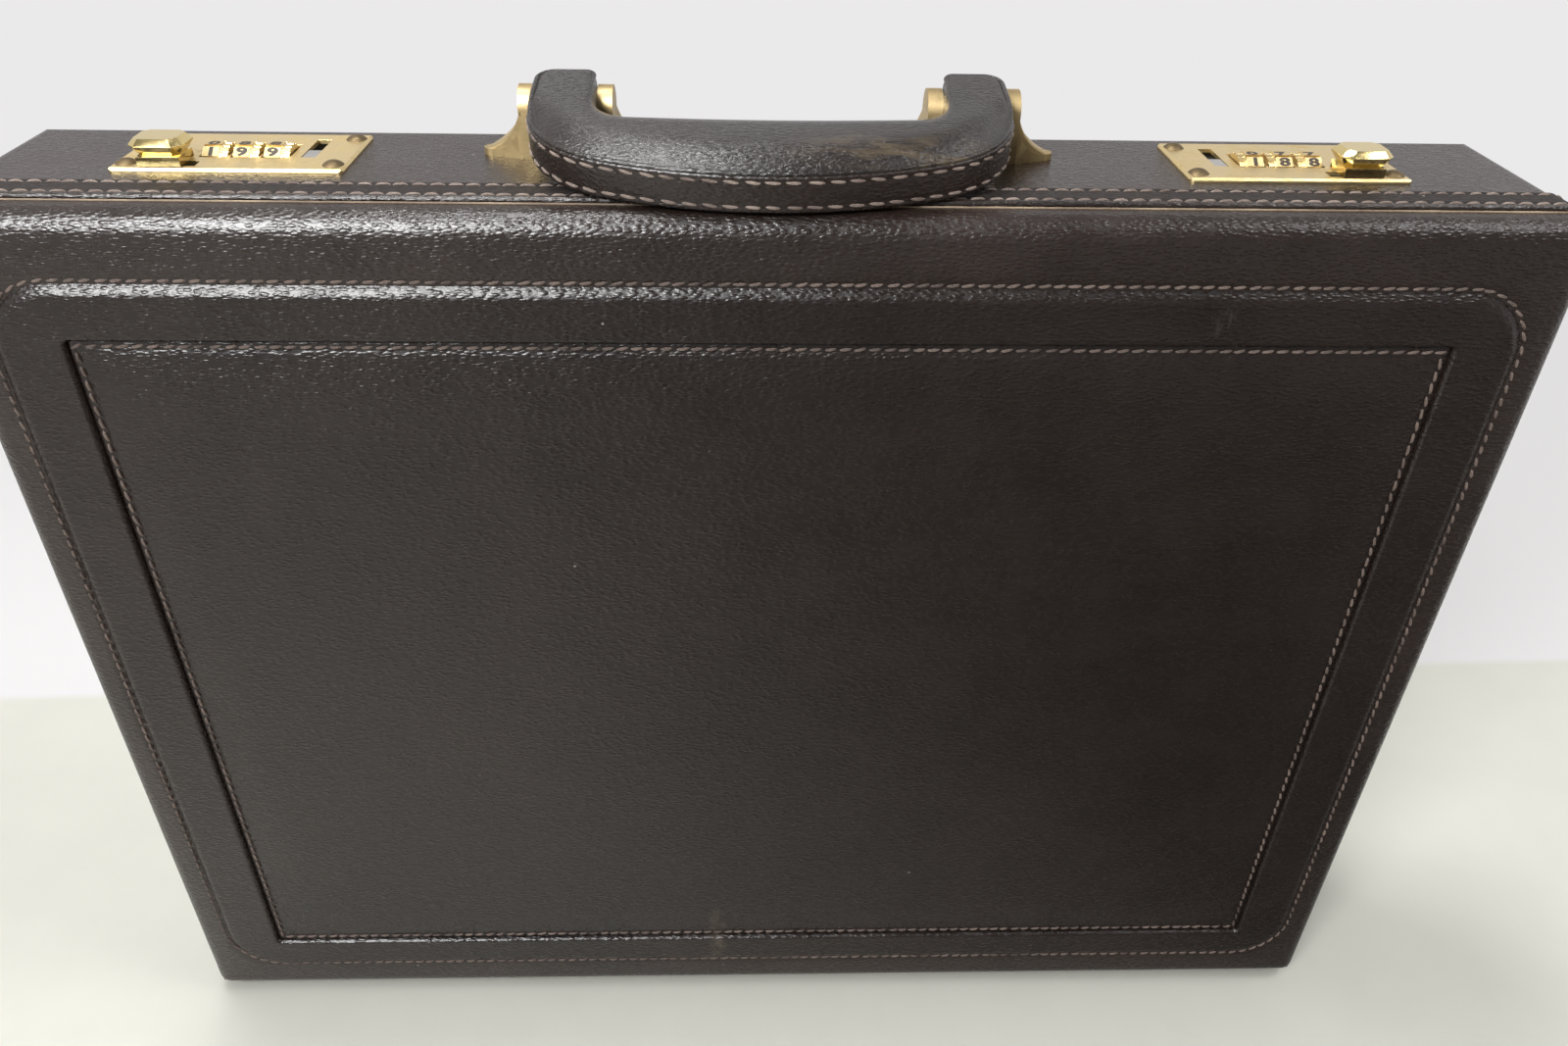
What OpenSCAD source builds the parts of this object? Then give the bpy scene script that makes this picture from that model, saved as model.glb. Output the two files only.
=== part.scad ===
// Slim leather-covered briefcase standing on its hinge side, handle on top.
// X runs along the width, Y from the lid (front) to the back, Z is up.
// The lid and base meet at the rims near the front. Lengths are millimetres.

/* [Case] */
// Width of the case
case_w = 456; // [400:1:500]
// Height of the case body without its feet
case_h = 333; // [300:1:380]
// Depth of the closed case, padded band included
case_d = 80; // [74:1:110]
// Rounding of the outer edges and corners
edge_r = 5; // [4:0.5:6]

/* [Walls] */
// Thickness of the leather cover
leather_t = 1.2; // [1:0.1:1.6]
// Thickness of the wooden frame of the base
frame_t = 6; // [5:0.5:8]
// Thickness of the wooden frame of the lid
lid_frame_t = 5; // [4:0.5:5.5]
// Thickness of the wooden back and front panels
panel_t = 4; // [3.8:0.1:5]
// Thickness of the lining
lining_t = 0.8; // [0.5:0.1:1]

/* [Rims] */
// Depth of the lid from its front plane to its rim
lid_d = 10; // [9.6:0.1:12]
// Gap between the rims of the closed case
rim_gap = 1.2; // [1:0.1:1.6]
// Radius of the piping round the mouth of the base
pipe_r = 1.1; // [0.8:0.1:1.1]
// Width of the stitched valance band behind the piping
valance_w = 11.6; // [10:0.2:14]
// Thickness of the stitched valance band
valance_t = 0.8; // [0.6:0.1:1]
// Thickness of the metal tongue inside the mouth
tongue_t = 1.5; // [1:0.1:2]
// How far the tongue stands out of the base rim
tongue_out = 3.7; // [3:0.1:4]
// How far the tongue runs back into the base
tongue_in = 8.8; // [7:0.2:12]

/* [Padding on the lid] */
// How far the band stands proud of the lid
band_proud = 1.8; // [1:0.1:3]
// Side margin from the case edge to the band
band_side = 12.5; // [10:0.5:20]
// Top margin from the case edge to the band
band_top = 19.5; // [12:0.5:24]
// Bottom margin from the case edge to the band
band_bottom = 17; // [12:0.5:24]
// Corner radius of the band's outer edge
band_r = 20; // [10:1:30]
// Width of the band at the sides
band_w_side = 20; // [14:0.5:26]
// Width of the band at the top
band_w_top = 16.5; // [12:0.5:24]
// Width of the band at the bottom
band_w_bottom = 15; // [12:0.5:24]
// Run of the slope from the valley up to the padded panel
pad_slope = 16; // [8:1:24]

/* [Hinge] */
// Length of the piano hinge
hinge_len = 420; // [380:2:430]
// Number of knuckles
knuckles = 21; // [11:2:31]
// Outer radius of the knuckles
knuckle_r = 2.2; // [2:0.1:2.4]
// Radius of the hinge pin
hinge_pin_r = 1.1; // [0.9:0.05:1.2]
// Thickness of the hinge leaves
leaf_t = 0.7; // [0.5:0.1:0.9]

/* [Handle] */
// Distance from the front plane to the handle's pivot
pivot_y = 54.5; // [52:0.5:58]
// Height of the handle's pivot above the case
pivot_h = 14; // [14:0.2:16]
// Angle by which the resting handle leans below level
fold = 9; // [8:0.5:9.5]
// Half of the handle's width
handle_half_w = 69; // [66:0.5:76]
// Reach of the handle from its pivot
handle_reach = 53.5; // [50:0.5:54]
// Width of the grip
grip_w = 31; // [26:0.5:33]
// Radius of the long arc at the front of the handle
handle_front_r = 140; // [120:5:200]
// Radius of the arcs between the front and the arms
handle_side_r = 33; // [30:1:35]
// Half width of the stitched rim strip
rim_half = 5.1; // [4:0.1:5.3]
// Rise of the upper pad above the rim strip
pad_up = 4.5; // [3:0.1:5]
// Rise of the lower pad below the rim strip
pad_low = 1.4; // [1:0.2:1.8]
// Thickness of the stitched rim strip
rim_t = 1.4; // [1:0.1:2]
// Distance of each bracket's middle from the case's middle
bracket_x = 59.7; // [56:0.1:66]
// Clear width between the ears of a bracket
fork_gap = 18.6; // [14:0.2:22]
// Thickness of a bracket ear
ear_t = 4.4; // [3.5:0.1:5]
// Half width of a bracket ear
ear_half = 6.2; // [5:0.1:6.6]
// Radius of the handle pins
handle_pin_r = 1.6; // [1.2:0.1:2]

/* [Locks] */
// Distance of each lock's middle from the side of the case
lock_in = 73; // [70:1:88]
// Distance from the front plane to the locks' middle
lock_y = 50.5; // [50:0.5:54]
// Length of a lock plate
plate_l = 66; // [64:0.5:70]
// Width of a lock plate
plate_w = 34.5; // [34:0.5:38]
// Thickness of a lock plate
plate_t = 1.2; // [1:0.1:1.4]
// Spacing of the dials along their shaft
dial_pitch = 8.9; // [8.9:0.1:9.2]
// Radius of the dials across their corners
dial_r = 7.1; // [6.8:0.1:7.2]
// Width of the numbered part of a dial
dial_w = 4.8; // [4.4:0.1:4.9]
// Width of the serrated flange beside the numbers
flange_w = 2.5; // [2:0.1:2.5]
// Radius of the dial shaft
shaft_r = 2; // [1.6:0.1:2.1]
// Travel of a latch button to release
latch_travel = 5; // [4:0.5:5]
// Travel of a latch button from rest to fully home
latch_home = 1.5; // [1:0.1:1.5]

/* [Lid stays] */
// Height of the lid pivot above the hinge axis
stay_lid_h = 50; // [44:1:60]
// Depth of the base pivot behind the hinge axis
stay_base_y = 45; // [40:1:48]
// Height of the base pivot above the hinge axis
stay_base_h = 35; // [30:1:40]
// Thickness of the stay arms
arm_t = 1.2; // [1:0.1:1.4]
// Width of the stay arms
arm_w = 6.6; // [6:0.2:8]
// Radius of the stay pivots
stay_pin_r = 1.5; // [1.2:0.1:1.8]

/* [Feet] */
// Height of the feet
foot_h = 3; // [2.8:0.1:5]
// Radius of the feet
foot_r = 5.4; // [4:0.1:5.4]
// Distance of the feet from the sides of the case
foot_in = 32; // [28:1:78]

/* [Hidden] */
$fn = 48;
sides = [-1, 1];
run_clear = 0.05;
seat = 0.3;
cut = 1;

front_y = -case_d / 2 + band_proud;
back_y = case_d / 2;
lid_rim_y = front_y + lid_d;
base_rim_y = lid_rim_y + rim_gap;
hinge_y = lid_rim_y + rim_gap / 2;
cover_y = base_rim_y + 2 * pipe_r;
panel_y = back_y - leather_t - panel_t;
lid_panel_y = front_y + leather_t + panel_t;
bottom_z = foot_h;
top_z = foot_h + case_h;
mid_z = foot_h + case_h / 2;
wood_w = case_w - 2 * leather_t;
wood_h = case_h - 2 * leather_t;
wood_r = edge_r - leather_t;
room_w = wood_w - 2 * frame_t;
room_h = wood_h - 2 * frame_t;
room_r = 2;
lid_room_w = wood_w - 2 * lid_frame_t;
lid_room_h = wood_h - 2 * lid_frame_t;
wall_in = leather_t + frame_t;
tongue_y = base_rim_y - tongue_out;
tongue_back_y = base_rim_y + tongue_in;
lock_x = case_w / 2 - lock_in;
foot_x = case_w / 2 - foot_in;

// Helpers

// Rectangle with rounded corners, centred
module round_rect(w, h, r) {
  union() {
    square([w - 2 * r, h], center = true);
    square([w, h - 2 * r], center = true);
    for (sx = sides) for (sy = sides)
      translate([sx * (w / 2 - r), sy * (h / 2 - r)]) circle(r);
  }
}

// Outline that is square at 0 and has rounded corners at d
module arch(w, d, r) {
  union() {
    translate([-w / 2, 0]) square([w, d - r]);
    translate([-w / 2 + r, 0]) square([w - 2 * r, d]);
    for (s = sides) translate([s * (w / 2 - r), d - r]) circle(r);
  }
}

// Block w by h by d whose corner edges and far face edges are rounded
module tray_block(w, h, d, r) {
  intersection() {
    linear_extrude(d) round_rect(w, h, r);
    translate([0, h / 2, 0]) rotate([90, 0, 0]) linear_extrude(h) arch(w, d, r);
    translate([-w / 2, 0, 0]) rotate([90, 0, 90]) linear_extrude(w) arch(h, d, r);
  }
}

// Plate with bevelled upper edges
module bevel_plate(l, w, t, b, r) {
  intersection() {
    linear_extrude(t) round_rect(l, w, r);
    translate([0, w / 2, 0]) rotate([90, 0, 0]) linear_extrude(w) bevel_outline(l, t, b);
    translate([-l / 2, 0, 0]) rotate([90, 0, 90]) linear_extrude(l) bevel_outline(w, t, b);
  }
}

module bevel_outline(l, t, b) {
  polygon([[-l / 2, 0], [l / 2, 0], [l / 2, t - b], [l / 2 - b, t], [b - l / 2, t], [-l / 2, t - b]]);
}

// Children drawn as depth along their own Z go back from y, or forward from y
module backwards(y) { translate([0, y, mid_z]) rotate([90, 0, 180]) children(); }
module forwards(y) { translate([0, y, mid_z]) rotate([90, 0, 0]) children(); }

// Children drawn for the right-hand side are mirrored to the left
module on_side(s) { mirror([s < 0 ? 1 : 0, 0, 0]) children(); }

// A box from one corner to the other
module span(a, b) { translate(a) cube(b - a); }

// Cylinder along X from x0 to x1
module rod_x(x0, x1, r) { translate([x0, 0, 0]) rotate([0, 90, 0]) cylinder(r = r, h = x1 - x0); }

// Hinge

hinge_axis = [0, hinge_y, bottom_z];
knuckle_l = hinge_len / knuckles;
knuckle_gap = 0.3;
leaf_bottom = knuckle_r + 0.25;
leaf_top = wall_in - 0.4;
leaf_in = 0.2;

// Room for the knuckles and the two leaves in whatever lies at the bottom rim
module hinge_room() {
  translate([-hinge_len / 2 - seat, hinge_y - leaf_in - leaf_t - 0.05, bottom_z - cut])
    cube([hinge_len + 2 * seat, 2 * (leaf_in + leaf_t + 0.05), leaf_top + cut + 0.1]);
  translate([0, hinge_y, bottom_z])
    rod_x(-hinge_len / 2 - seat, hinge_len / 2 + seat, knuckle_r + 0.35);
}

module hinge_leaf(first, side) {
  y_leaf = side < 0 ? -leaf_in - leaf_t : leaf_in;
  translate(hinge_axis) difference() {
    union() {
      translate([-hinge_len / 2, y_leaf, leaf_bottom]) cube([hinge_len, leaf_t, leaf_top - leaf_bottom]);
      for (i = [first : 2 : knuckles - 1])
        translate([-hinge_len / 2 + i * knuckle_l + knuckle_gap / 2, 0, 0]) {
          rod_x(0, knuckle_l - knuckle_gap, knuckle_r);
          translate([0, y_leaf, knuckle_r - 0.5]) cube([knuckle_l - knuckle_gap, leaf_t, 1]);
        }
    }
    rod_x(-hinge_len / 2 - cut, hinge_len / 2 + cut, hinge_pin_r + run_clear);
  }
}

module hinge_leaf_base() { color("darkgoldenrod") hinge_leaf(0, 1); }
module hinge_leaf_lid() { color("goldenrod") hinge_leaf(1, -1); }
module hinge_pin() {
  color("silver") translate(hinge_axis) rod_x(-hinge_len / 2, hinge_len / 2, hinge_pin_r);
}

// Base shell

panel_gap = 0.05;

module base_frame() {
  color("burlywood") difference() {
    backwards(base_rim_y) linear_extrude(panel_y - base_rim_y) difference() {
      round_rect(wood_w, wood_h, wood_r);
      round_rect(room_w, room_h, room_r);
    }
    hinge_room();
    for (s = sides) lock_room(s);
    for (s = sides) bracket_holes(s, rivet_shank_r + panel_gap);
  }
}

module base_back_panel() {
  color("tan") backwards(panel_y) tray_block(wood_w, wood_h, panel_t, wood_r);
}

module base_cover() {
  color([0.16, 0.12, 0.11]) difference() {
    backwards(cover_y) tray_block(case_w, case_h, back_y - cover_y, edge_r);
    backwards(cover_y - cut) tray_block(wood_w, wood_h, back_y - leather_t - cover_y + cut, wood_r);
    for (s = sides) lock_room(s);
    for (s = sides) bracket_holes(s, rivet_shank_r + panel_gap);
  }
}

pipe_in = leather_t - pipe_r;
pipe_w = case_w - 2 * pipe_in;
pipe_h = case_h - 2 * pipe_in;
pipe_corner = edge_r - pipe_in;

module mouth_piping() {
  color([0.12, 0.09, 0.08]) difference() {
    backwards(base_rim_y + pipe_r) union() {
      for (s = sides) {
        translate([s * pipe_w / 2, 0, 0]) rotate([90, 0, 0])
          cylinder(r = pipe_r, h = pipe_h - 2 * pipe_corner, center = true);
        translate([0, s * pipe_h / 2, 0]) rotate([0, 90, 0])
          cylinder(r = pipe_r, h = pipe_w - 2 * pipe_corner, center = true);
      }
      for (a = [0 : 3])
        translate([(a == 0 || a == 3 ? 1 : -1) * (pipe_w / 2 - pipe_corner),
          (a < 2 ? 1 : -1) * (pipe_h / 2 - pipe_corner), 0])
          rotate([0, 0, 90 * a]) rotate_extrude(angle = 90) translate([pipe_corner, 0]) circle(pipe_r);
    }
    translate([-hinge_len / 2 - seat, base_rim_y - cut, bottom_z - pipe_r - cut])
      cube([hinge_len + 2 * seat, 2 * pipe_r + 2 * cut, 2 * pipe_r + 2 * cut]);
  }
}

module valance_band() {
  color([0.2, 0.15, 0.13]) backwards(cover_y) linear_extrude(valance_w) difference() {
    round_rect(case_w + 2 * valance_t, case_h + 2 * valance_t, edge_r + valance_t);
    round_rect(case_w, case_h, edge_r);
  }
}

module mouth_tongue() {
  color("dimgray") difference() {
    backwards(tongue_y) linear_extrude(tongue_back_y - tongue_y) difference() {
      round_rect(room_w, room_h, room_r);
      round_rect(room_w - 2 * tongue_t, room_h - 2 * tongue_t, room_r / 2);
    }
    for (s = sides) lock_at(s) {
      span([keeper_u0 - 1, keeper_end_v - 40, -wall_in - 3], [keeper_u1 + 1.2, case_front_v, -wall_in + cut]);
      span([case_u0 - seat, case_front_v - seat, -wall_in - 3], [case_u1 + seat, 0, -wall_in + cut]);
    }
  }
}

module base_lining() {
  color("darkolivegreen") difference() {
    backwards(tongue_back_y) linear_extrude(panel_y - tongue_back_y) round_rect(room_w, room_h, room_r);
    backwards(tongue_back_y - cut) linear_extrude(panel_y - lining_t - tongue_back_y + cut)
      round_rect(room_w - 2 * lining_t, room_h - 2 * lining_t, room_r / 2);
    for (s = sides) {
      lock_at(s) span([case_u0 - seat, case_front_v - cut, -wall_in - 3],
        [case_u1 + seat, case_back_v + seat, -wall_in + cut]);
      bracket_holes(s, rivet_head_r + panel_gap);
      on_side(s) stay_point(base_pivot)
        span([wall_x - 3, -stay_plate_half - seat, -stay_plate_half - seat],
          [wall_x + cut, stay_plate_half + seat, stay_plate_half + seat]);
    }
  }
}

// Feet: domed studs, the front pair standing on the valance band

stud_flat_r = 2.6;
stud_y = [cover_y + valance_w / 2, back_y - 14];

// A stud of height h that stands on the ground
module foot_body(h) {
  rotate_extrude() polygon([[0, 0], [stud_flat_r, 0], [foot_r - 0.8, 0.8], [foot_r, 1.6], [foot_r, h], [0, h]]);
}

module foot_studs() {
  color("darkgoldenrod") for (s = sides) {
    translate([s * foot_x, stud_y[0], 0]) foot_body(foot_h - valance_t);
    translate([s * foot_x, stud_y[1], 0]) foot_body(foot_h);
  }
}

// Lid shell

module lid_frame() {
  color("burlywood") difference() {
    forwards(lid_rim_y) linear_extrude(lid_rim_y - lid_panel_y) difference() {
      round_rect(wood_w, wood_h, wood_r);
      round_rect(lid_room_w, lid_room_h, room_r);
    }
    hinge_room();
  }
}

module lid_panel() {
  color("tan") forwards(lid_panel_y) tray_block(wood_w, wood_h, panel_t, wood_r);
}

module lid_cover() {
  color([0.13, 0.1, 0.09]) difference() {
    forwards(lid_rim_y) tray_block(case_w, case_h, lid_d, edge_r);
    forwards(lid_rim_y + cut) tray_block(wood_w, wood_h, lid_d - leather_t + cut, wood_r);
    hinge_room();
  }
}

band_w_out = case_w - 2 * band_side;
band_z0 = bottom_z + band_bottom;
band_z1 = top_z - band_top;
inner_x = band_w_out / 2 - band_w_side;
inner_z0 = band_z0 + band_w_bottom;
inner_z1 = band_z1 - band_w_top;
band_slope = 3;

module lid_band() {
  color([0.18, 0.13, 0.12]) difference() {
    hull() for (k = [0, 1])
      translate([0, front_y - k * (band_proud - 0.3), (band_z0 + band_z1) / 2]) rotate([90, 0, 0])
        linear_extrude(0.3)
          round_rect(band_w_out - 2 * k * band_slope, band_z1 - band_z0 - 2 * k * band_slope,
            band_r - k * band_slope);
    span([-inner_x, front_y - band_proud - cut, inner_z0], [inner_x, front_y + cut, inner_z1]);
  }
}

// Padded panel: flat rim where the stitches run, then a slope up to a level crown
pad_edge = 3;

module lid_centre_pad() {
  color([0.16, 0.12, 0.11]) union() {
    span([-inner_x, front_y - 0.4, inner_z0], [inner_x, front_y, inner_z1]);
    hull() {
      span([-inner_x + pad_edge, front_y - 0.4, inner_z0 + pad_edge],
        [inner_x - pad_edge, front_y - 0.2, inner_z1 - pad_edge]);
      span([-inner_x + pad_edge + pad_slope / 2, front_y - 0.8 * band_proud, inner_z0 + pad_edge + pad_slope / 2],
        [inner_x - pad_edge - pad_slope / 2, front_y - 0.2, inner_z1 - pad_edge - pad_slope / 2]);
      span([-inner_x + pad_edge + pad_slope, front_y - band_proud, inner_z0 + pad_edge + pad_slope],
        [inner_x - pad_edge - pad_slope, front_y - 0.2, inner_z1 - pad_edge - pad_slope]);
    }
  }
}

module lid_lining() {
  color("darkolivegreen") backwards(lid_panel_y) linear_extrude(lining_t)
    round_rect(lid_room_w, lid_room_h, room_r);
}

// Document folio on the lid

folio_w = 370;
folio_z0 = bottom_z + 70;
folio_z1 = top_z - 34;
folio_t = 0.8;
folio_y = lid_panel_y + lining_t;
pocket_h = 150;
thumb_r = 22;
thumb_up = 6;

module folio_back() {
  color("saddlebrown") span([-folio_w / 2, folio_y, folio_z0], [folio_w / 2, folio_y + folio_t, folio_z1]);
}

module folio_pocket() {
  color("sienna") difference() {
    span([-folio_w / 2, folio_y + folio_t, folio_z0],
      [folio_w / 2, folio_y + 2 * folio_t, folio_z0 + pocket_h]);
    translate([0, folio_y + folio_t - cut, folio_z0 + pocket_h + thumb_up]) rotate([-90, 0, 0])
      cylinder(r = thumb_r, h = folio_t + 2 * cut);
  }
}

card_w = 96;
card_h = 36;
card_in = 20;
card_up = 10;
card_gap = 8;

module card_pockets() {
  color("peru") for (i = [0, 1])
    translate([-folio_w / 2 + card_in + i * (card_w + card_gap), folio_y + folio_t, folio_z0 + pocket_h + card_up])
      cube([card_w, folio_t, card_h]);
}

// Locks. Each is drawn for the right side: u runs outwards, v to the back and
// w up from the top of the leather.

module lock_at(s) { on_side(s) translate([lock_x, front_y + lock_y, top_z]) children(); }

case_wall = 0.8;
case_half_u = 24.6;
case_half_v = 15.4;
case_floor_w = -13.2;
case_u0 = -case_half_u;
case_u1 = 34;
case_gap = 2.8;
case_front_v = base_rim_y + case_gap - front_y - lock_y;
case_back_v = case_half_v;

module lock_room(s) {
  lock_at(s) {
    span([-case_half_u - 0.1, -case_half_v - 0.1, -wall_in - cut], [case_half_u + 0.1, case_half_v + 0.1, cut]);
    for (u = [-rivet_u, rivet_u]) for (v = [-rivet_v, rivet_v])
      translate([u, v, -wall_in - cut]) cylinder(r = rivet_shank_r + panel_gap, h = wall_in + 2 * cut);
  }
}

rivet_u = plate_l / 2 - 3.8;
rivet_v = plate_w / 2 - 4.85;
rivet_head_r = 3.1;
rivet_shank_r = 1.5;
rivet_dome_h = 1.4;

// Latch button and bolt
neck_u0 = 14.6;
neck_u1 = 21;
neck_v0 = -14.3;
neck_v1 = -10.3;
ped_u0 = 12.3;
ped_u1 = 24.4;
ped_v0 = -16.4;
ped_v1 = -6.5;

// Keeper tongue on the lid and the bolt's finger that catches it
keeper_t = 1.6;
keeper_w1 = -wall_in - 0.4;
keeper_w0 = keeper_w1 - keeper_t;
keeper_u0 = 24;
keeper_u1 = 32;
keeper_reach = 18.8;
keeper_end_v = base_rim_y + keeper_reach - front_y - lock_y;
notch_v0 = keeper_end_v - 9.8;
notch_v1 = keeper_end_v - 5.2;
notch_depth = latch_home + 1;
finger_u1 = keeper_u0 - seat;
finger_gap = 0.6;

// Dials: centres of the numbered parts, outermost first
dial_w_axis = plate_t + 2.55 - dial_r;
function dial_u(i) = 8.4 - i * dial_pitch;
window_half = 6.4;
reset_u = -20;
reset_slot_w = 4.2;
reset_v0 = -5.8;
reset_v1 = 11.2;

module lock_plate(s) {
  color("gold") lock_at(s) difference() {
    bevel_plate(plate_l, plate_w, plate_t, 0.7, 1.5);
    for (i = [0 : 2])
      span([dial_u(i) - dial_w / 2 - flange_w - 0.5, -window_half, -cut], [dial_u(i) + dial_w / 2 + 0.5, window_half, plate_t + cut]);
    span([reset_u - reset_slot_w / 2, reset_v0, -cut], [reset_u + reset_slot_w / 2, reset_v1, plate_t + cut]);
    span([neck_u0 - latch_travel - seat, neck_v0 - seat, -cut], [neck_u1 + latch_home + seat, neck_v1 + seat, plate_t + cut]);
    for (u = [-rivet_u, rivet_u]) for (v = [-rivet_v, rivet_v])
      translate([u, v, -cut]) cylinder(r = rivet_shank_r + panel_gap, h = plate_t + 2 * cut);
  }
}

module lock_case(s) {
  color("dimgray") lock_at(s) difference() {
    union() {
      span([-case_half_u, -case_half_v, -wall_in - 0.01], [case_half_u, case_half_v, 0]);
      span([case_u0, case_front_v, case_floor_w], [case_u1, case_back_v, -wall_in]);
    }
    span([-case_half_u + case_wall, -case_half_v + case_wall, -wall_in - cut],
      [case_half_u - case_wall, case_half_v - case_wall, cut]);
    span([case_u0 + case_wall, case_front_v + case_wall, case_floor_w + case_wall],
      [case_u1 - case_wall, case_back_v - case_wall, -wall_in + 0.2]);
    span([keeper_u0 - 0.8, case_front_v - cut, keeper_w0 - 0.6], [keeper_u1 + 0.8, case_front_v + 2, -wall_in + cut]);
  }
}

module lock_rivets() {
  color("saddlebrown") for (s = sides) lock_at(s)
    for (u = [-rivet_u, rivet_u]) for (v = [-rivet_v, rivet_v]) translate([u, v, 0]) {
      translate([0, 0, -wall_in]) cylinder(r = rivet_shank_r, h = wall_in + plate_t + 0.1);
      translate([0, 0, plate_t]) rotate_extrude() dome_outline(rivet_head_r, rivet_dome_h);
    }
}

// Quarter outline of a low dome of radius r and height h, as part of a circle
module dome_outline(r, h) {
  ball = (r * r + h * h) / (2 * h);
  intersection() {
    square([r, h]);
    translate([0, h - ball]) circle(ball, $fn = 64);
  }
}

module dial_shaft(s) {
  color("silver") lock_at(s) translate([0, 0, dial_w_axis]) rod_x(-case_half_u + case_wall, case_half_u - case_wall, shaft_r);
}

groove_w = 1;
hub_r = 2.9;
hub_l = dial_pitch - dial_w - flange_w - 0.3;

module dial(s, i) {
  color("khaki") lock_at(s) translate([dial_u(i), 0, dial_w_axis]) difference() {
    union() {
      difference() {
        translate([-dial_w / 2, 0, 0]) rotate([0, 90, 0]) rotate([0, 0, 18]) cylinder(r = dial_r, h = dial_w, $fn = 10);
        for (k = [0 : 9]) rotate([36 * k + 18, 0, 0])
          translate([-dial_w / 2 - cut, -groove_w / 2, dial_r - 1.1]) cube([dial_w + 2 * cut, groove_w, 3]);
      }
      difference() {
        rod_x(-dial_w / 2 - flange_w, -dial_w / 2, dial_r - 0.5);
        for (k = [0 : 19]) rotate([18 * k, 0, 0]) translate([0, 0, dial_r - 0.3])
          rod_x(-dial_w / 2 - flange_w - cut, -dial_w / 2 - 0.6, 0.55);
      }
      rod_x(0, dial_w / 2 + hub_l, hub_r);
    }
    rod_x(-dial_w / 2 - flange_w - cut, dial_w / 2 + hub_l + cut, shaft_r + run_clear);
  }
}

module latch_bolt(s) {
  color("slategray") lock_at(s) union() {
    span([neck_u0, neck_v0, -0.4], [neck_u1, neck_v1, plate_t + 0.2]);
    span([neck_u0 - 1.4, neck_v0, -2], [neck_u1 + 1, neck_v1, -0.3]);
    span([neck_u0, neck_v0, keeper_w0 - 0.1], [neck_u0 + 5, neck_v0 + 2, -1]);
    span([neck_u0, notch_v0 + finger_gap, keeper_w0 - 0.1], [neck_u0 + 5, neck_v0 + 2, keeper_w1 - 0.2]);
    span([neck_u0, notch_v0 + finger_gap, keeper_w0 - 0.1], [finger_u1, notch_v1 - finger_gap, keeper_w1 - 0.2]);
  }
}

// Gem-shaped head on a pedestal; the corners of the head are cut
head_u0 = 11;
head_u1 = 26.2;
head_v0 = -17.2;
head_v1 = -4.6;
head_cut = 2.4;
head_w = [4, 6.9, 7.1, 8.9];
head_in = [1.9, 0, 0, 1.6];

module head_outline(d) {
  u0 = head_u0 + d;
  u1 = head_u1 - d;
  v0 = head_v0 + d;
  v1 = head_v1 - d;
  c = head_cut - d * 0.4;
  polygon([[u0 + c, v0], [u1 - c, v0], [u1, v0 + c], [u1, v1 - c], [u1 - c, v1], [u0 + c, v1],
    [u0, v1 - c], [u0, v0 + c]]);
}

module latch_button(s) {
  color("gold") lock_at(s) union() {
    span([ped_u0, ped_v0, plate_t + 0.2], [ped_u1, ped_v1, head_w[0] + 0.1]);
    hull() for (k = [0 : 3]) translate([0, 0, head_w[k] - (k == 3 ? 0.02 : 0)]) linear_extrude(0.02) head_outline(head_in[k]);
  }
}

module reset_slide(s) {
  color("silver") lock_at(s) union() {
    span([reset_u - reset_slot_w / 2 + 0.15, reset_v0 + 0.3, -0.25], [reset_u + reset_slot_w / 2 - 0.15, reset_v0 + 7.3, plate_t - 0.2]);
    span([reset_u - 3, reset_v0 - 1.2, -1.1], [reset_u + 3, reset_v0 + 8.8, -0.2]);
  }
}

// Keepers: a flange on the lid panel and a hooked tongue reaching into the lock

module keeper(s) {
  color("silver") lock_at(s) difference() {
    union() {
      span([keeper_u0 - 4, folio_y - front_y - lock_y, keeper_w0 - 18],
        [keeper_u1 + 4, folio_y - front_y - lock_y + 1.4, keeper_w1]);
      span([keeper_u0, folio_y - front_y - lock_y, keeper_w0], [keeper_u1, keeper_end_v, keeper_w1]);
    }
    span([keeper_u0 - cut, notch_v0, keeper_w0 - cut], [keeper_u0 + notch_depth, notch_v1, keeper_w1 + cut]);
    for (k = sides) translate([(keeper_u0 + keeper_u1) / 2 + k * 4, 0, keeper_w0 - 11]) rotate([90, 0, 0])
      cylinder(r = lid_rivet_r + run_clear, h = 200, center = true);
  }
}

lid_rivet_r = 1.25;
ear_rivet_x = 5;
ear_rivet_z = 6;

module lid_rivets() {
  color("goldenrod") for (s = sides) {
    lock_at(s) for (k = sides)
      translate([(keeper_u0 + keeper_u1) / 2 + k * 4, folio_y - front_y - lock_y, keeper_w0 - 11]) lid_rivet(1.4);
    on_side(s) for (k = sides)
      translate([arm_base_x - ear_rivet_x, folio_y, bottom_z + stay_lid_h + k * ear_rivet_z]) lid_rivet(flange_t);
  }
}

// Rivet along Y whose head lies on a flange of thickness t
module lid_rivet(t) {
  rotate([-90, 0, 0]) union() {
    cylinder(r = lid_rivet_r, h = t);
    translate([0, 0, t]) rotate_extrude() dome_outline(2.2, 0.9);
  }
}

// Handle brackets

pin_z = top_z + pivot_h;
pin_y = front_y + pivot_y;
foot_t = 2;
flare_r = 10;
fork_half = fork_gap / 2;
foot_reach = 12.2;
bracket_half = fork_half + ear_t + foot_reach;
tip_r = 2.6;

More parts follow.
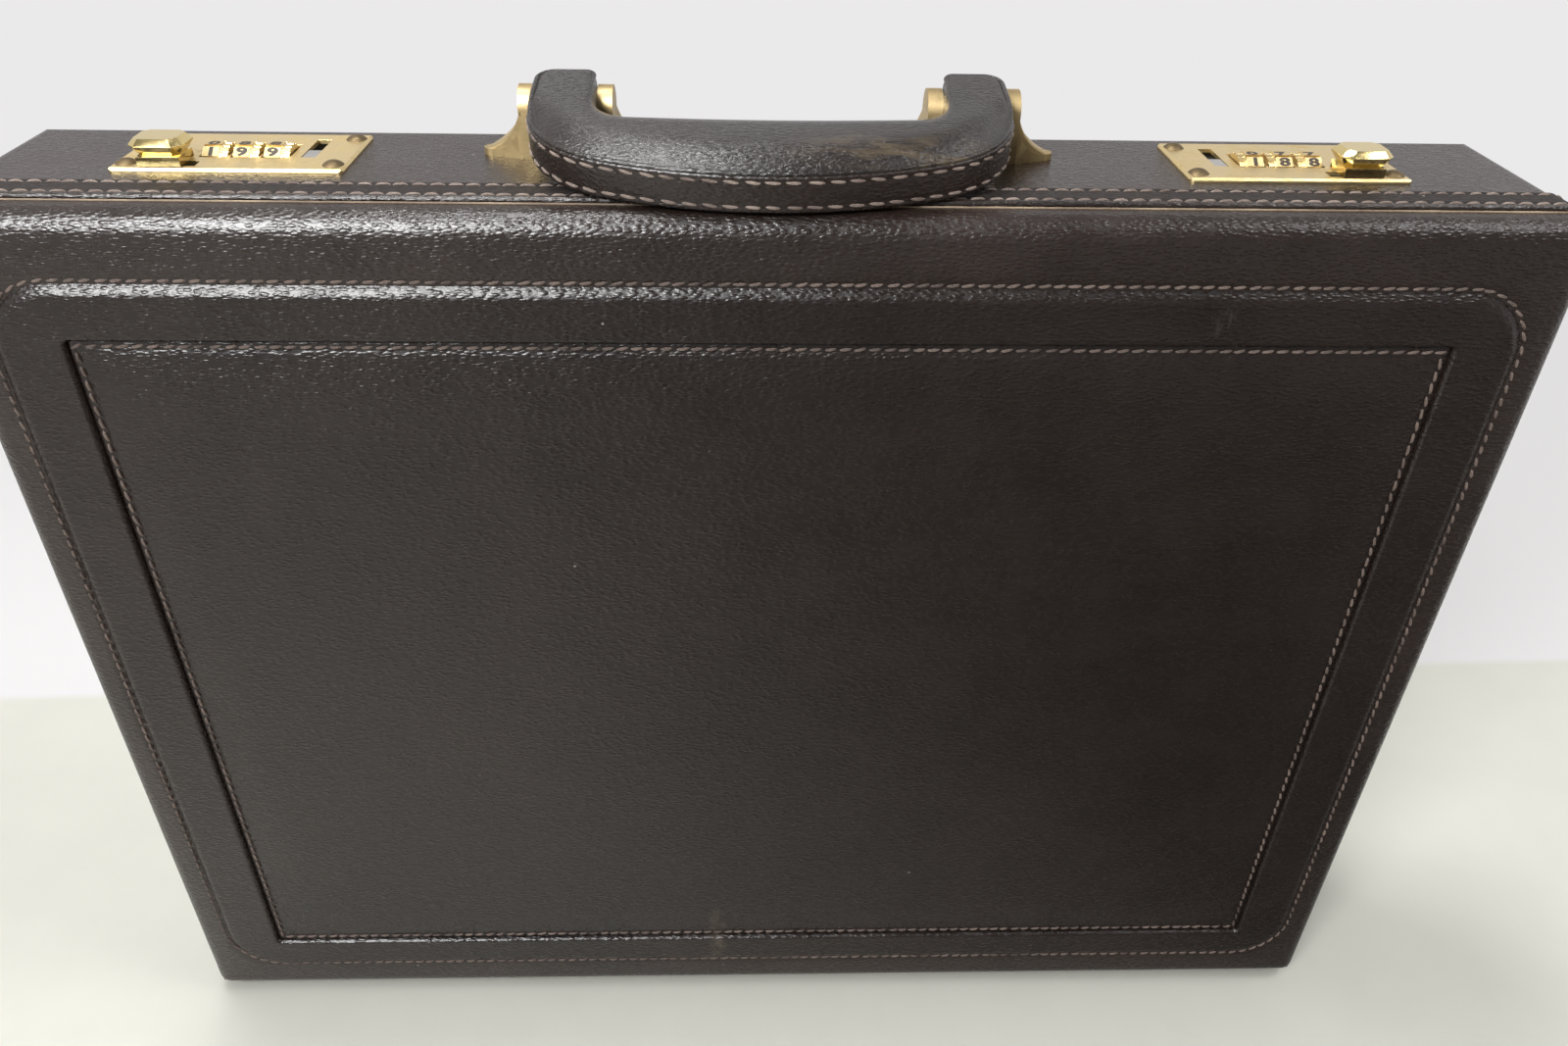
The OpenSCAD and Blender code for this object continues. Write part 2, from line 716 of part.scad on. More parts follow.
// Side view of the fork, seen along Y
module bracket_front() {
  difference() {
    union() {
      translate([-bracket_half, 0]) square([2 * bracket_half, foot_t]);
      for (s = sides)
        translate([s > 0 ? fork_half : -fork_half - ear_t, 0]) square([ear_t, pivot_h + ear_half]);
      for (s = sides) translate([s > 0 ? fork_half + ear_t - 0.01 : -fork_half - ear_t - flare_r, foot_t - 0.01])
        square([flare_r + 0.01, flare_r]);
    }
    for (s = sides) translate([s * (fork_half + ear_t + flare_r), foot_t + flare_r]) circle(flare_r, $fn = 64);
  }
}

module bracket_plan() {
  reach = bracket_half - tip_r;
  mid = fork_half + ear_t;
  union() {
    polygon([[-reach, -tip_r], [-mid, -ear_half], [mid, -ear_half], [reach, -tip_r],
      [reach, tip_r], [mid, ear_half], [-mid, ear_half], [-reach, tip_r]]);
    for (s = sides) translate([s * reach, 0]) circle(tip_r);
  }
}

module bracket_end() {
  union() {
    translate([-ear_half, 0]) square([2 * ear_half, pivot_h]);
    translate([0, pivot_h]) circle(ear_half);
  }
}

module handle_bracket(s) {
  color("peru") on_side(s) translate([bracket_x, pin_y, top_z]) difference() {
    intersection() {
      rotate([90, 0, 0]) translate([0, 0, -20]) linear_extrude(40) bracket_front();
      linear_extrude(40) bracket_plan();
      translate([-40, 0, 0]) rotate([90, 0, 90]) linear_extrude(80) bracket_end();
    }
    translate([0, 0, pivot_h]) rod_x(-40, 40, handle_pin_r + run_clear);
    bracket_hole_places() translate([0, 0, -cut]) cylinder(r = rivet_shank_r + panel_gap, h = foot_t + cut - 0.5);
  }
}

bracket_rivet_x = 5;

module bracket_hole_places() { for (s = sides) translate([s * bracket_rivet_x, 0, 0]) children(); }

// Clear holes through the top wall for the bracket rivets
module bracket_holes(s, r) {
  on_side(s) translate([bracket_x, pin_y, top_z]) bracket_hole_places()
    translate([0, 0, -wall_in - 3]) cylinder(r = r, h = wall_in + 4);
}

module bracket_rivets() {
  color("darkgoldenrod") for (s = sides) on_side(s) translate([bracket_x, pin_y, top_z])
    bracket_hole_places() union() {
      translate([0, 0, -wall_in]) cylinder(r = rivet_shank_r, h = wall_in + foot_t - 0.5);
      translate([0, 0, -wall_in - 1.2]) cylinder(r = rivet_head_r, h = 1.2);
    }
}

module handle_pins() {
  color("darkgoldenrod") for (s = sides) on_side(s) translate([bracket_x, pin_y, pin_z])
    rod_x(-fork_half - ear_t, fork_half + ear_t, handle_pin_r);
}

// Handle: drawn with its reach along Y and its pads along Z, then laid down

module handle_place() { translate([0, pin_y, pin_z]) rotate([fold, 0, 0]) rotate([0, 0, 180]) children(); }

shoulder = 9.6;
inner_half = 50;
inner_r = 11;
block_gap = 0.5;
rim_seam = 0.1;
block_x0 = bracket_x - fork_half + block_gap;
block_x1 = bracket_x + fork_half - block_gap;
block_back = 5.5;
block_r = 3;
grip_in = handle_reach - grip_w;
crown_r = handle_reach - 24;

// The outline is one long arc at the front that runs into an arc at each side
side_x = handle_half_w - handle_side_r;
front_c = handle_reach - handle_front_r;
side_c = front_c + sqrt(pow(handle_front_r - handle_side_r, 2) - side_x * side_x);

// Wedge from the side arcs' centres out past the front arc
module front_wedge() {
  out = 1.1 * handle_front_r / (handle_front_r - handle_side_r);
  far = front_c + out * (side_c - front_c);
  polygon([[-side_x, side_c], [side_x, side_c], [out * side_x, far], [-out * side_x, far]]);
}

// Outline of the handle seen from above, drawn inwards by d at its outer edge
module handle_outline(d) {
  difference() {
    union() {
      translate([-handle_half_w + d, shoulder]) square([2 * (handle_half_w - d), side_c - shoulder]);
      for (s = sides) translate([s * side_x, side_c]) circle(handle_side_r - d, $fn = 96);
      intersection() {
        translate([0, front_c]) circle(handle_front_r - d, $fn = 240);
        front_wedge();
      }
    }
    translate([-handle_half_w, shoulder - 2 * handle_side_r]) square([2 * handle_half_w, 2 * handle_side_r]);
    translate([-inner_half, 0]) square([2 * inner_half, grip_in - inner_r]);
    translate([-inner_half + inner_r, 0]) square([2 * (inner_half - inner_r), grip_in]);
    for (s = sides) translate([s * (inner_half - inner_r), grip_in - inner_r]) circle(inner_r);
  }
}

// Height of a pad at r, between the back edge, the crown and the front edge
function bar_rise(r) = let (run = r < crown_r ? crown_r - grip_in : handle_reach - crown_r) 1 - pow((r - crown_r) / run, 2);
bar_steps = 8;
bar_places = concat([for (k = [0 : bar_steps - 1]) grip_in + (crown_r - grip_in) * k / bar_steps],
  [for (k = [0 : bar_steps]) crown_r + (handle_reach - crown_r) * k / bar_steps]);

// Height of a pad at x, level in the middle and falling off near the sides
function width_rise(x) = 1 - pow(x / handle_half_w, 8);
width_steps = 12;
width_places = [for (k = [-width_steps : width_steps]) handle_half_w * sin(90 * k / width_steps)];

// Outline through the upper pad's heights and back through the lower pad's
function pad_outline(places, rises) = let (last = len(places) - 1) concat(
  [for (k = [0 : last]) [places[k], rim_half + pad_up * rises[k]]],
  [for (k = [last : -1 : 0]) [places[k], -rim_half - pad_low * rises[k]]]);

module width_solid() {
  translate([0, 100, 0]) rotate([90, 0, 0]) linear_extrude(200)
    polygon(pad_outline(width_places, [for (x = width_places) width_rise(x)]));
}

module grip_bar() {
  intersection() {
    translate([0, 0, -20]) linear_extrude(40) difference() {
      handle_outline(rim_t);
      translate([-100, -20]) square([200, 20 + grip_in]);
    }
    translate([-100, 0, 0]) rotate([90, 0, 90]) linear_extrude(200)
      polygon(pad_outline(bar_places, [for (r = bar_places) bar_rise(r)]));
    width_solid();
  }
}

module grip_arm() {
  intersection() {
    translate([0, 0, -20]) linear_extrude(40) union() {
      intersection() {
        handle_outline(rim_t);
        translate([inner_half - inner_r, 0]) square([60, crown_r]);
      }
      translate([block_x0, -block_back]) square([block_x1 - block_x0, shoulder + block_back]);
    }
    width_solid();
    rotate([90, 0, 90]) linear_extrude(100) block_end();
  }
}

// Side view of an arm, rounded behind the pin
module block_end() {
  low = -rim_half - pad_low;
  high = rim_half + pad_up;
  union() {
    translate([-block_back, low + block_r]) square([60, high - low - 2 * block_r]);
    translate([block_r - block_back, low]) square([60, high - low]);
    for (t = [low + block_r, high - block_r]) translate([block_r - block_back, t]) circle(block_r);
  }
}

// Steel strap inside the handle, bent at its two corners, with an eye for each pin
core_t = 2.4;
core_w = 8;
core_x0 = bracket_x - core_w / 2;
core_eye_r = 3.4;
core_corner = 14;

module strap_outline(x, r, corner, r0) {
  polygon([[-x, r0], [-x, r - corner], [corner - x, r], [x - corner, r], [x, r - corner], [x, r0]]);
}

module core_shape() {
  translate([0, 0, -core_t / 2]) linear_extrude(core_t) difference() {
    strap_outline(core_x0 + core_w, crown_r + core_w, core_corner, 0);
    strap_outline(core_x0, crown_r, core_corner - core_w * (2 - sqrt(2)), -cut);
  }
  for (s = sides) on_side(s) rod_x(core_x0, core_x0 + core_w, core_eye_r);
}

module pin_bore() { for (s = sides) on_side(s) rod_x(bracket_x - 20, bracket_x + 20, handle_pin_r + run_clear); }

module handle_core() {
  color("gray") handle_place() difference() {
    core_shape();
    pin_bore();
  }
}

module handle_grip() {
  color([0.14, 0.1, 0.09]) handle_place() difference() {
    union() {
      grip_bar();
      for (s = sides) on_side(s) grip_arm();
    }
    core_shape();
    pin_bore();
  }
}

module handle_rim() {
  color([0.2, 0.15, 0.13]) handle_place() translate([0, 0, -rim_half]) linear_extrude(2 * rim_half) difference() {
    handle_outline(0);
    handle_outline(rim_t - rim_seam);
  }
}

// Lid stays: two arms a side that form a parallelogram with the hinge axis and
// the two pivots, so that each arm turns by the same angle as the lid

stay_plate_t = 1.2;
stay_plate_half = 9;
washer_t = 1;
layer_gap = 0.4;
head_t = 0.7;
head_gap = 0.15;
wall_x = case_w / 2 - wall_in;
arm_base_x = wall_x - stay_plate_t - washer_t - arm_t;
arm_lid_x = arm_base_x - layer_gap - arm_t;
flange_t = 1.2;
eye_extra = 0.7;
flange_gap = 0.4;
lid_pivot = [folio_y - hinge_y + flange_t + arm_w / 2 + eye_extra + flange_gap, stay_lid_h];
base_pivot = [stay_base_y, stay_base_h];
knee = lid_pivot + base_pivot;

// Children drawn round a point of the stay's plane, given from the hinge axis
module stay_point(p) { translate([0, hinge_y + p[0], bottom_z + p[1]]) children(); }

// Flat bar between two points of that plane, from x to x + arm_t
module stay_bar(a, b, x) {
  run = b - a;
  for (p = [a, b]) stay_point(p) rod_x(x, x + arm_t, arm_w / 2 + eye_extra);
  stay_point(a) rotate([atan2(run[1], run[0]), 0, 0]) translate([x, 0, -arm_w / 2]) cube([arm_t, norm(run), arm_w]);
}

// Headed pin whose head lies inwards of the bar that starts at x
module stay_pin(x, x_end) {
  rod_x(x - head_gap - head_t, x - head_gap, stay_pin_r + 1.1);
  rod_x(x - head_gap - head_t, x_end, stay_pin_r);
}

module stay_hole(x) { rod_x(x - cut, x + arm_t + cut, stay_pin_r + run_clear); }

module stay_plate(s) {
  color("darkgoldenrod") on_side(s) stay_point(base_pivot) union() {
    span([wall_x - stay_plate_t, -stay_plate_half, -stay_plate_half], [wall_x, stay_plate_half, stay_plate_half]);
    rod_x(arm_base_x + arm_t + head_gap, wall_x, stay_pin_r + 1.8);
    stay_pin(arm_base_x, wall_x);
  }
}

module stay_arm_base(s) {
  color("goldenrod") on_side(s) difference() {
    union() {
      stay_bar(base_pivot, knee, arm_base_x);
      stay_point(knee) stay_pin(arm_lid_x, arm_base_x + arm_t);
    }
    stay_point(base_pivot) stay_hole(arm_base_x);
  }
}

module stay_arm_lid(s) {
  color("khaki") on_side(s) difference() {
    stay_bar(lid_pivot, knee, arm_lid_x);
    for (p = [lid_pivot, knee]) stay_point(p) stay_hole(arm_lid_x);
  }
}

module stay_ear(s) {
  ear_y = folio_y - hinge_y - lid_pivot[0];
  color("darkgoldenrod") on_side(s) stay_point(lid_pivot) difference() {
    union() {
      span([arm_base_x, ear_y, -5], [arm_base_x + arm_t, 4, 5]);
      span([arm_base_x - 10, ear_y, -9], [arm_base_x + arm_t, ear_y + flange_t, 9]);
      stay_pin(arm_lid_x, arm_base_x + arm_t);
    }
    for (k = sides) translate([arm_base_x - ear_rivet_x, ear_y - cut, k * ear_rivet_z]) rotate([-90, 0, 0])
      cylinder(r = lid_rivet_r + run_clear, h = flange_t + 2 * cut);
  }
}

base_frame();
base_back_panel();
base_cover();
mouth_piping();
valance_band();
mouth_tongue();
base_lining();
hinge_leaf_base();
hinge_pin();
foot_studs();
lid_frame();
lid_panel();
lid_cover();
lid_band();
lid_centre_pad();
lid_lining();
hinge_leaf_lid();
folio_back();
folio_pocket();
card_pockets();
keeper(-1);  // keeper_left
keeper(1);  // keeper_right
lid_rivets();
lock_plate(-1);  // lock_plate_left
lock_plate(1);  // lock_plate_right
lock_case(-1);  // lock_case_left
lock_case(1);  // lock_case_right
lock_rivets();
dial_shaft(-1);  // dial_shaft_left
dial_shaft(1);  // dial_shaft_right
dial(-1, 0);  // dial_left_1
dial(-1, 1);  // dial_left_2
dial(-1, 2);  // dial_left_3
dial(1, 0);  // dial_right_1
dial(1, 1);  // dial_right_2
dial(1, 2);  // dial_right_3
latch_bolt(-1);  // latch_bolt_left
latch_bolt(1);  // latch_bolt_right
latch_button(-1);  // latch_button_left
latch_button(1);  // latch_button_right
reset_slide(-1);  // reset_slide_left
reset_slide(1);  // reset_slide_right
handle_bracket(-1);  // handle_bracket_left
handle_bracket(1);  // handle_bracket_right
handle_pins();
bracket_rivets();
handle_core();
handle_grip();
handle_rim();
stay_ear(-1);  // stay_ear_left
stay_ear(1);  // stay_ear_right
stay_plate(-1);  // stay_plate_left
stay_plate(1);  // stay_plate_right
stay_arm_lid(-1);  // stay_arm_lid_left
stay_arm_lid(1);  // stay_arm_lid_right
stay_arm_base(-1);  // stay_arm_base_left
stay_arm_base(1);  // stay_arm_base_right
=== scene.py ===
import bmesh
import bpy
import numpy as np
from mathutils import Matrix, Vector


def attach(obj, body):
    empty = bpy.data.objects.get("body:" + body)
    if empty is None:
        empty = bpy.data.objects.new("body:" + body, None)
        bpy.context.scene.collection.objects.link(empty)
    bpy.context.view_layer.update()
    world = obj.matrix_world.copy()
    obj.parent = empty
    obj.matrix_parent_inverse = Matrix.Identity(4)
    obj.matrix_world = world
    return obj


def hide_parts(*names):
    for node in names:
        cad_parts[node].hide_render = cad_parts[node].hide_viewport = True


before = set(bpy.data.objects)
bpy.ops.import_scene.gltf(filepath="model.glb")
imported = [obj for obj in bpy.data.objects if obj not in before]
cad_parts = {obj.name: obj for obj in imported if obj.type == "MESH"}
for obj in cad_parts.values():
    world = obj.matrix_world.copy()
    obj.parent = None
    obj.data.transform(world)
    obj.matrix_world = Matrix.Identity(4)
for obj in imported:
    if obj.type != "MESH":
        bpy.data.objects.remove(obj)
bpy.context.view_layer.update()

# Sizes in millimetres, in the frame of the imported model: X across, Y to the back, Z up
MM = 0.001

# Case: half width, bottom and top, radius of its long edges and of the lid's rolled front edge
HALF_W = 228
LOW = 3
HIGH = 336
EDGE_R = 5
ROLL_R = 7

# Depths of the lid's front, its lining and its rim, of the mouth's piping and the valance's two edges
FRONT = -38.2
LINING_Y = -32.2
LID_RIM = -28.2
PIPE_Y = -25.9
VALANCE_Y = (-24.8, -13.2)

# Rise of the pads over the lid's front, thickness of leather and valance, radius of the piping
PROUD = 1.8
LEATHER = 1.2
VALANCE_T = 0.8
PIPE_R = 1.25

# Hinge: half its length and the depth of its axis
HINGE_HALF = 210.3
HINGE_Y = -27.6

# Outlines by half width, bottom, top and corner radius: case, padded band, centre panel inside the band
CASE = (HALF_W, LOW, HIGH, EDGE_R)
BAND = (215.5, 20, 316.5, 20)
PANEL = (195.5, 35, 300, 1.5)

# Folio in the lid: half width, bottom, top, height of its pocket and thickness of each sheet
FOLIO_HALF = 185
FOLIO_LOW = 73
FOLIO_HIGH = 302
POCKET_H = 150
SHEET = 0.8

# Seams: distance outside the band, inside the panel, from the valance's edges, from the strip's middle
BAND_SEAM = 0.9
PANEL_SEAM = 1.9
VALANCE_SEAM = 1.8
STRIP_SEAM = 3.55

# Stitches by pitch, length and half thickness
LID_STITCH = (4.2, 3.9, 0.5)
VALANCE_STITCH = (5, 4.4, 0.42)
HANDLE_STITCH = (5.6, 4.8, 0.48)
FOLIO_STITCH = (4, 2.9, 0.3)

# Handle, in its own place: x across, r forwards from the pin, t upwards from its middle. It rests folded
# down by an angle. A front arc and two side arcs make its outer edge.
PIN_Y = 16.3
PIN_Z = 350
FOLD = np.radians(9)
HALF_HANDLE = 69
REACH = 53.5
FRONT_R = 140
SIDE_R = 33
SIDE_X = HALF_HANDLE - SIDE_R
FRONT_C = REACH - FRONT_R
SIDE_C = FRONT_C + np.sqrt((FRONT_R - SIDE_R) ** 2 - SIDE_X ** 2)

# Start of the stitched strip, ends and inner edge of the pad, half height of the strip, and the pad's dome
SHOULDER = 9.6
ARM_END = -5.5
ARM_IN = 50.9
INNER_X = 50
INNER_R = 11
GRIP_IN = 22.5
RIM_HALF = 5.1
CROWN = 11
PAD_UP = 4.5
PAD_LOW = 1.4

# Brackets: middle of each fork, outer face and half width of its ears, reach of its feet beyond them
BRACKET_X = 59.7
EAR_FACE = 13.7
EAR_HALF = 6.2
FLARE = 12.2

# Locks: middle of each plate, its dials from the outer one inwards, their axis and their flats
LOCK_X = 155
LOCK_Y = 12.3
DIAL_U = 8.4
DIAL_PITCH = 8.9
DIAL_Z = 332.65
DIAL_FLATS = 10
DIAL_FLAT = 7.1 * np.cos(np.pi / DIAL_FLATS)
SHOWN = {"left": (1, 9, 9), "right": (1, 8, 8)}

# Marks on the front: middle in X and Z, half width and half height of an oval
RUBBED = (127, 308, 4.5, 6)
STAIN = (-19, 36, 4.5, 19)

# Surroundings: colour, the rays that see them, and the photograph's viewpoint with its yaw, pitch and roll
WALL = (0.83, 0.82, 0.825)
SHOWN_TO = ("Is Camera Ray", "Is Glossy Ray", "Is Transmission Ray")
VIEWPOINT = (-0.007, -0.3403, 0.4454)
VIEW_TURNS = (-2.19, -34.38, -1.24)

TO_BACK = np.array([[0.0, 1.0, 0.0]])
TO_TOP = np.array([[0.0, 0.0, 1.0]])


# Meshes

def grid_faces(rows, columns, close_rows=False, close_columns=False):
    """Quads between the neighbouring points of a grid stored row by row"""
    row = np.arange(rows if close_rows else rows - 1)[:, None]
    column = np.arange(columns if close_columns else columns - 1)[None, :]
    next_row = (row + 1) % rows
    next_column = (column + 1) % columns
    corners = [row * columns + column, row * columns + next_column,
               next_row * columns + next_column, next_row * columns + column]
    return np.stack(np.broadcast_arrays(*corners), axis=-1).reshape(-1, 4)


def skin(grid, closed=False):
    """Points and faces of a skin over a grid whose rows each go once round. An open skin gets a face over
    each end."""
    rows, columns = grid.shape[:2]
    faces = grid_faces(rows, columns, closed, True).tolist()
    if not closed:
        faces.append(list(range(columns)))
        faces.append([(rows - 1) * columns + k for k in range(columns)])
    return grid.reshape(-1, 3), faces


def tube(path, side, up, profile_side, profile_up):
    """Open skin of a closed profile carried along a path. At each path point the profile's two columns are
    laid along the side and up directions there."""
    grid = path[:, None, :] + side[:, None, :] * profile_side[..., None]
    return skin(grid + up[:, None, :] * profile_up[..., None])


def smooth_object(name, mesh, material, sharp):
    """Object of one material in the scene, shaded smooth over edges that bend less than an angle"""
    mesh.shade_smooth()
    mesh.set_sharp_from_angle(angle=np.radians(sharp))
    mesh.materials.append(material)
    made = bpy.data.objects.new(name, mesh)
    bpy.context.scene.collection.objects.link(made)
    return made


def make_piece(name, points, faces, material, body, slot, replaces=()):
    """Turn points in millimetres and lists of faces into a smooth piece that rides on a body"""
    tiny = 1e-7
    mesh = bpy.data.meshes.new(name)
    mesh.from_pydata((np.asarray(points) * MM).tolist(), [], faces)
    work = bmesh.new()
    work.from_mesh(mesh)
    bmesh.ops.remove_doubles(work, verts=work.verts, dist=tiny)
    bmesh.ops.dissolve_degenerate(work, edges=work.edges, dist=tiny)
    bmesh.ops.recalc_face_normals(work, faces=work.faces)
    work.to_mesh(mesh)
    work.free()
    piece = smooth_object(name, mesh, material, 50)
    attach(piece, body)
    if replaces:
        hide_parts(*replaces)
    return piece


# Outlines and curves

def rounded_frame(half_w, low, high, radius, across=380, up=260, corner=26):
    """Closed rounded rectangle in X and Z. Four quarter arcs are joined by straight sides, anticlockwise
    from the lower right as the front is looked at. Outlines with equal counts match point for point.
    Gives the points, the outward normals and the distance run."""
    right, bottom, top = half_w - radius, low + radius, high - radius
    centres = np.array([(right, bottom), (right, top), (-right, top), (-right, bottom)], float)
    points, normals = [], []
    for quarter in range(4):
        angle = np.radians(np.linspace(-90, 0, corner + 1) + 90 * quarter)
        way = np.stack([np.cos(angle), np.sin(angle)], axis=1)
        arc_points = centres[quarter] + radius * way
        next_way = way[-1]
        next_start = centres[(quarter + 1) % 4] + radius * next_way
        count = up if quarter % 2 == 0 else across
        share = np.linspace(0, 1, count + 1)[1:-1, None]
        points += [arc_points, arc_points[-1] + (next_start - arc_points[-1]) * share]
        normals += [way, np.repeat(next_way[None, :], count - 1, axis=0)]
    points = np.concatenate(points)
    steps = np.linalg.norm(np.roll(points, -1, axis=0) - points, axis=1)
    return points, np.concatenate(normals), np.concatenate([[0], np.cumsum(steps)[:-1]])


def grown(sizes, out):
    """Sizes of an outline that runs outside the given one at a distance, or inside it if negative"""
    half_w, low, high, radius = sizes
    return half_w + out, low - out, high + out, radius + out


def upright(flat, depth):
    """Points or directions of X and Z with a depth in Y put between"""
    return np.stack([flat[:, 0], np.broadcast_to(depth, len(flat)), flat[:, 1]], axis=1)


def kept_order(keep):
    """Numbers of the kept points of a closed outline, from the start of their run to its end"""
    start = int(np.argmax(keep & ~np.roll(keep, 1)))
    order = np.roll(np.arange(len(keep)), -start)
    return order[keep[order]]


def unit(vectors):
    return vectors / np.linalg.norm(vectors, axis=-1, keepdims=True)


def quarter_circle(distance, reach):
    """Rise of a quarter circle from 0 at no distance to 1 at its reach, level beyond"""
    return np.sqrt(np.maximum(0, 1 - (1 - np.minimum(distance / reach, 1)) ** 2))


def smooth_step(share):
    """Smooth rise from 0 at a share of 0 to 1 at a share of 1, level outside"""
    share = np.clip(share, 0, 1)
    return share * share * (3 - 2 * share)


def bell(distance, middle, width):
    """Bell curve that is 1 at the middle"""
    return np.exp(-((distance - middle) / width) ** 2)


def eased(count):
    """Shares from 0 to 1 by half a cosine wave, close together at both ends"""
    return (1 - np.cos(np.pi * np.linspace(0, 1, count))) / 2


def spaced(low, high, fine=0.75, coarse=1.7, border=21):
    """Places from low to high, close together within the border at both ends"""
    edge = np.arange(0, border, fine)
    middle = np.linspace(low + border, high - border, int((high - low - 2 * border) / coarse) + 1)
    return np.concatenate([low + edge, middle, (high - edge)[::-1]])


def swell(run, stitch):
    """Cosine wave along a run with one period for each stitch"""
    return np.cos(2 * np.pi * run / stitch[0])


def ripple(run, seed, waves=7, longest=60):
    """Gentle unevenness along a run, as the mean of a few sine waves with fixed random starts"""
    random = np.random.default_rng(seed)
    lengths = longest / np.arange(1, waves + 1)
    starts = random.uniform(0, 2 * np.pi, waves)
    return np.sin(2 * np.pi * run[:, None] / lengths + starts).mean(axis=1)


def stitch_row(name, path, outwards, stitch, material, body, slot, slant, seed, closed=True):
    """Row of stitches along a path. Each stitch is a thread of round section that is thickest in its
    middle, swells out of the leather there and dives into it at both ends."""
    pitch, length, thick = stitch
    outwards = np.broadcast_to(outwards, path.shape)
    if closed:
        path = np.concatenate([path, path[:1]])
        outwards = np.concatenate([outwards, outwards[:1]])
    run = np.concatenate([[0], np.cumsum(np.linalg.norm(np.diff(path, axis=0), axis=1))])
    total = run[-1]
    count = int(round(total / pitch))
    random = np.random.default_rng(seed)
    at = (np.arange(count) + 0.5) * total / count
    at = at + random.normal(0, 0.04 * pitch, count)

    def pick(values, where):
        return np.stack([np.interp(where, run, values[:, k]) for k in range(3)], axis=1)

    near = 0.6
    centre = pick(path, at)
    ahead = unit(pick(path, np.minimum(at + near, total)) - pick(path, np.maximum(at - near, 0)))
    rise = unit(pick(outwards, at))
    across = unit(np.cross(rise, ahead))
    tilt = slant + random.normal(0, 0.05, count)
    ahead, across = (ahead * np.cos(tilt)[:, None] + across * np.sin(tilt)[:, None],
                     across * np.cos(tilt)[:, None] - ahead * np.sin(tilt)[:, None])
    rings, sides = 7, 6
    along = np.linspace(-1, 1, rings)
    turn = np.linspace(0, 2 * np.pi, sides, endpoint=False)
    round_off = np.sqrt(1 - 0.9 * along ** 2)[:, None]
    half = length / 2 * random.uniform(0.93, 1.05, count)
    lift = 0.35 * thick - 0.9 * thick * along[:, None] ** 4 + thick * round_off * np.sin(turn)
    place = (centre[:, None, None, :]
             + ahead[:, None, None, :] * (half[:, None] * along)[:, :, None, None]
             + across[:, None, None, :] * (thick * round_off * np.cos(turn))[None, :, :, None]
             + rise[:, None, None, :] * lift[None, :, :, None])
    shift = np.arange(count)[:, None, None] * rings * sides
    faces = (grid_faces(rings, sides, False, True) + shift).reshape(-1, 4).tolist()
    ends = np.arange(rings * sides).reshape(rings, sides)[[0, -1]]
    faces += (ends + shift).reshape(-1, sides).tolist()
    make_piece(name, place.reshape(-1, 3), faces, material, body, slot)


# Materials

class Value:
    """A socket whose arithmetic adds Math nodes"""

    def __init__(self, paint, socket):
        self.paint = paint
        self.socket = socket

    def math(self, operation, *values):
        return self.paint.node("ShaderNodeMath", values, operation=operation)

    def __add__(self, other):
        return self.math("ADD", self, other)

    def __sub__(self, other):
        return self.math("SUBTRACT", self, other)

    def __mul__(self, other):
        return self.math("MULTIPLY", self, other)

    def __rmul__(self, other):
        return self.math("MULTIPLY", other, self)

    def power(self, exponent):
        return self.math("POWER", self, exponent)

    def at_least(self, other):
        return self.math("MAXIMUM", self, other)

    def part(self, index):
        return self.paint.node("ShaderNodeSeparateXYZ", [self], index)


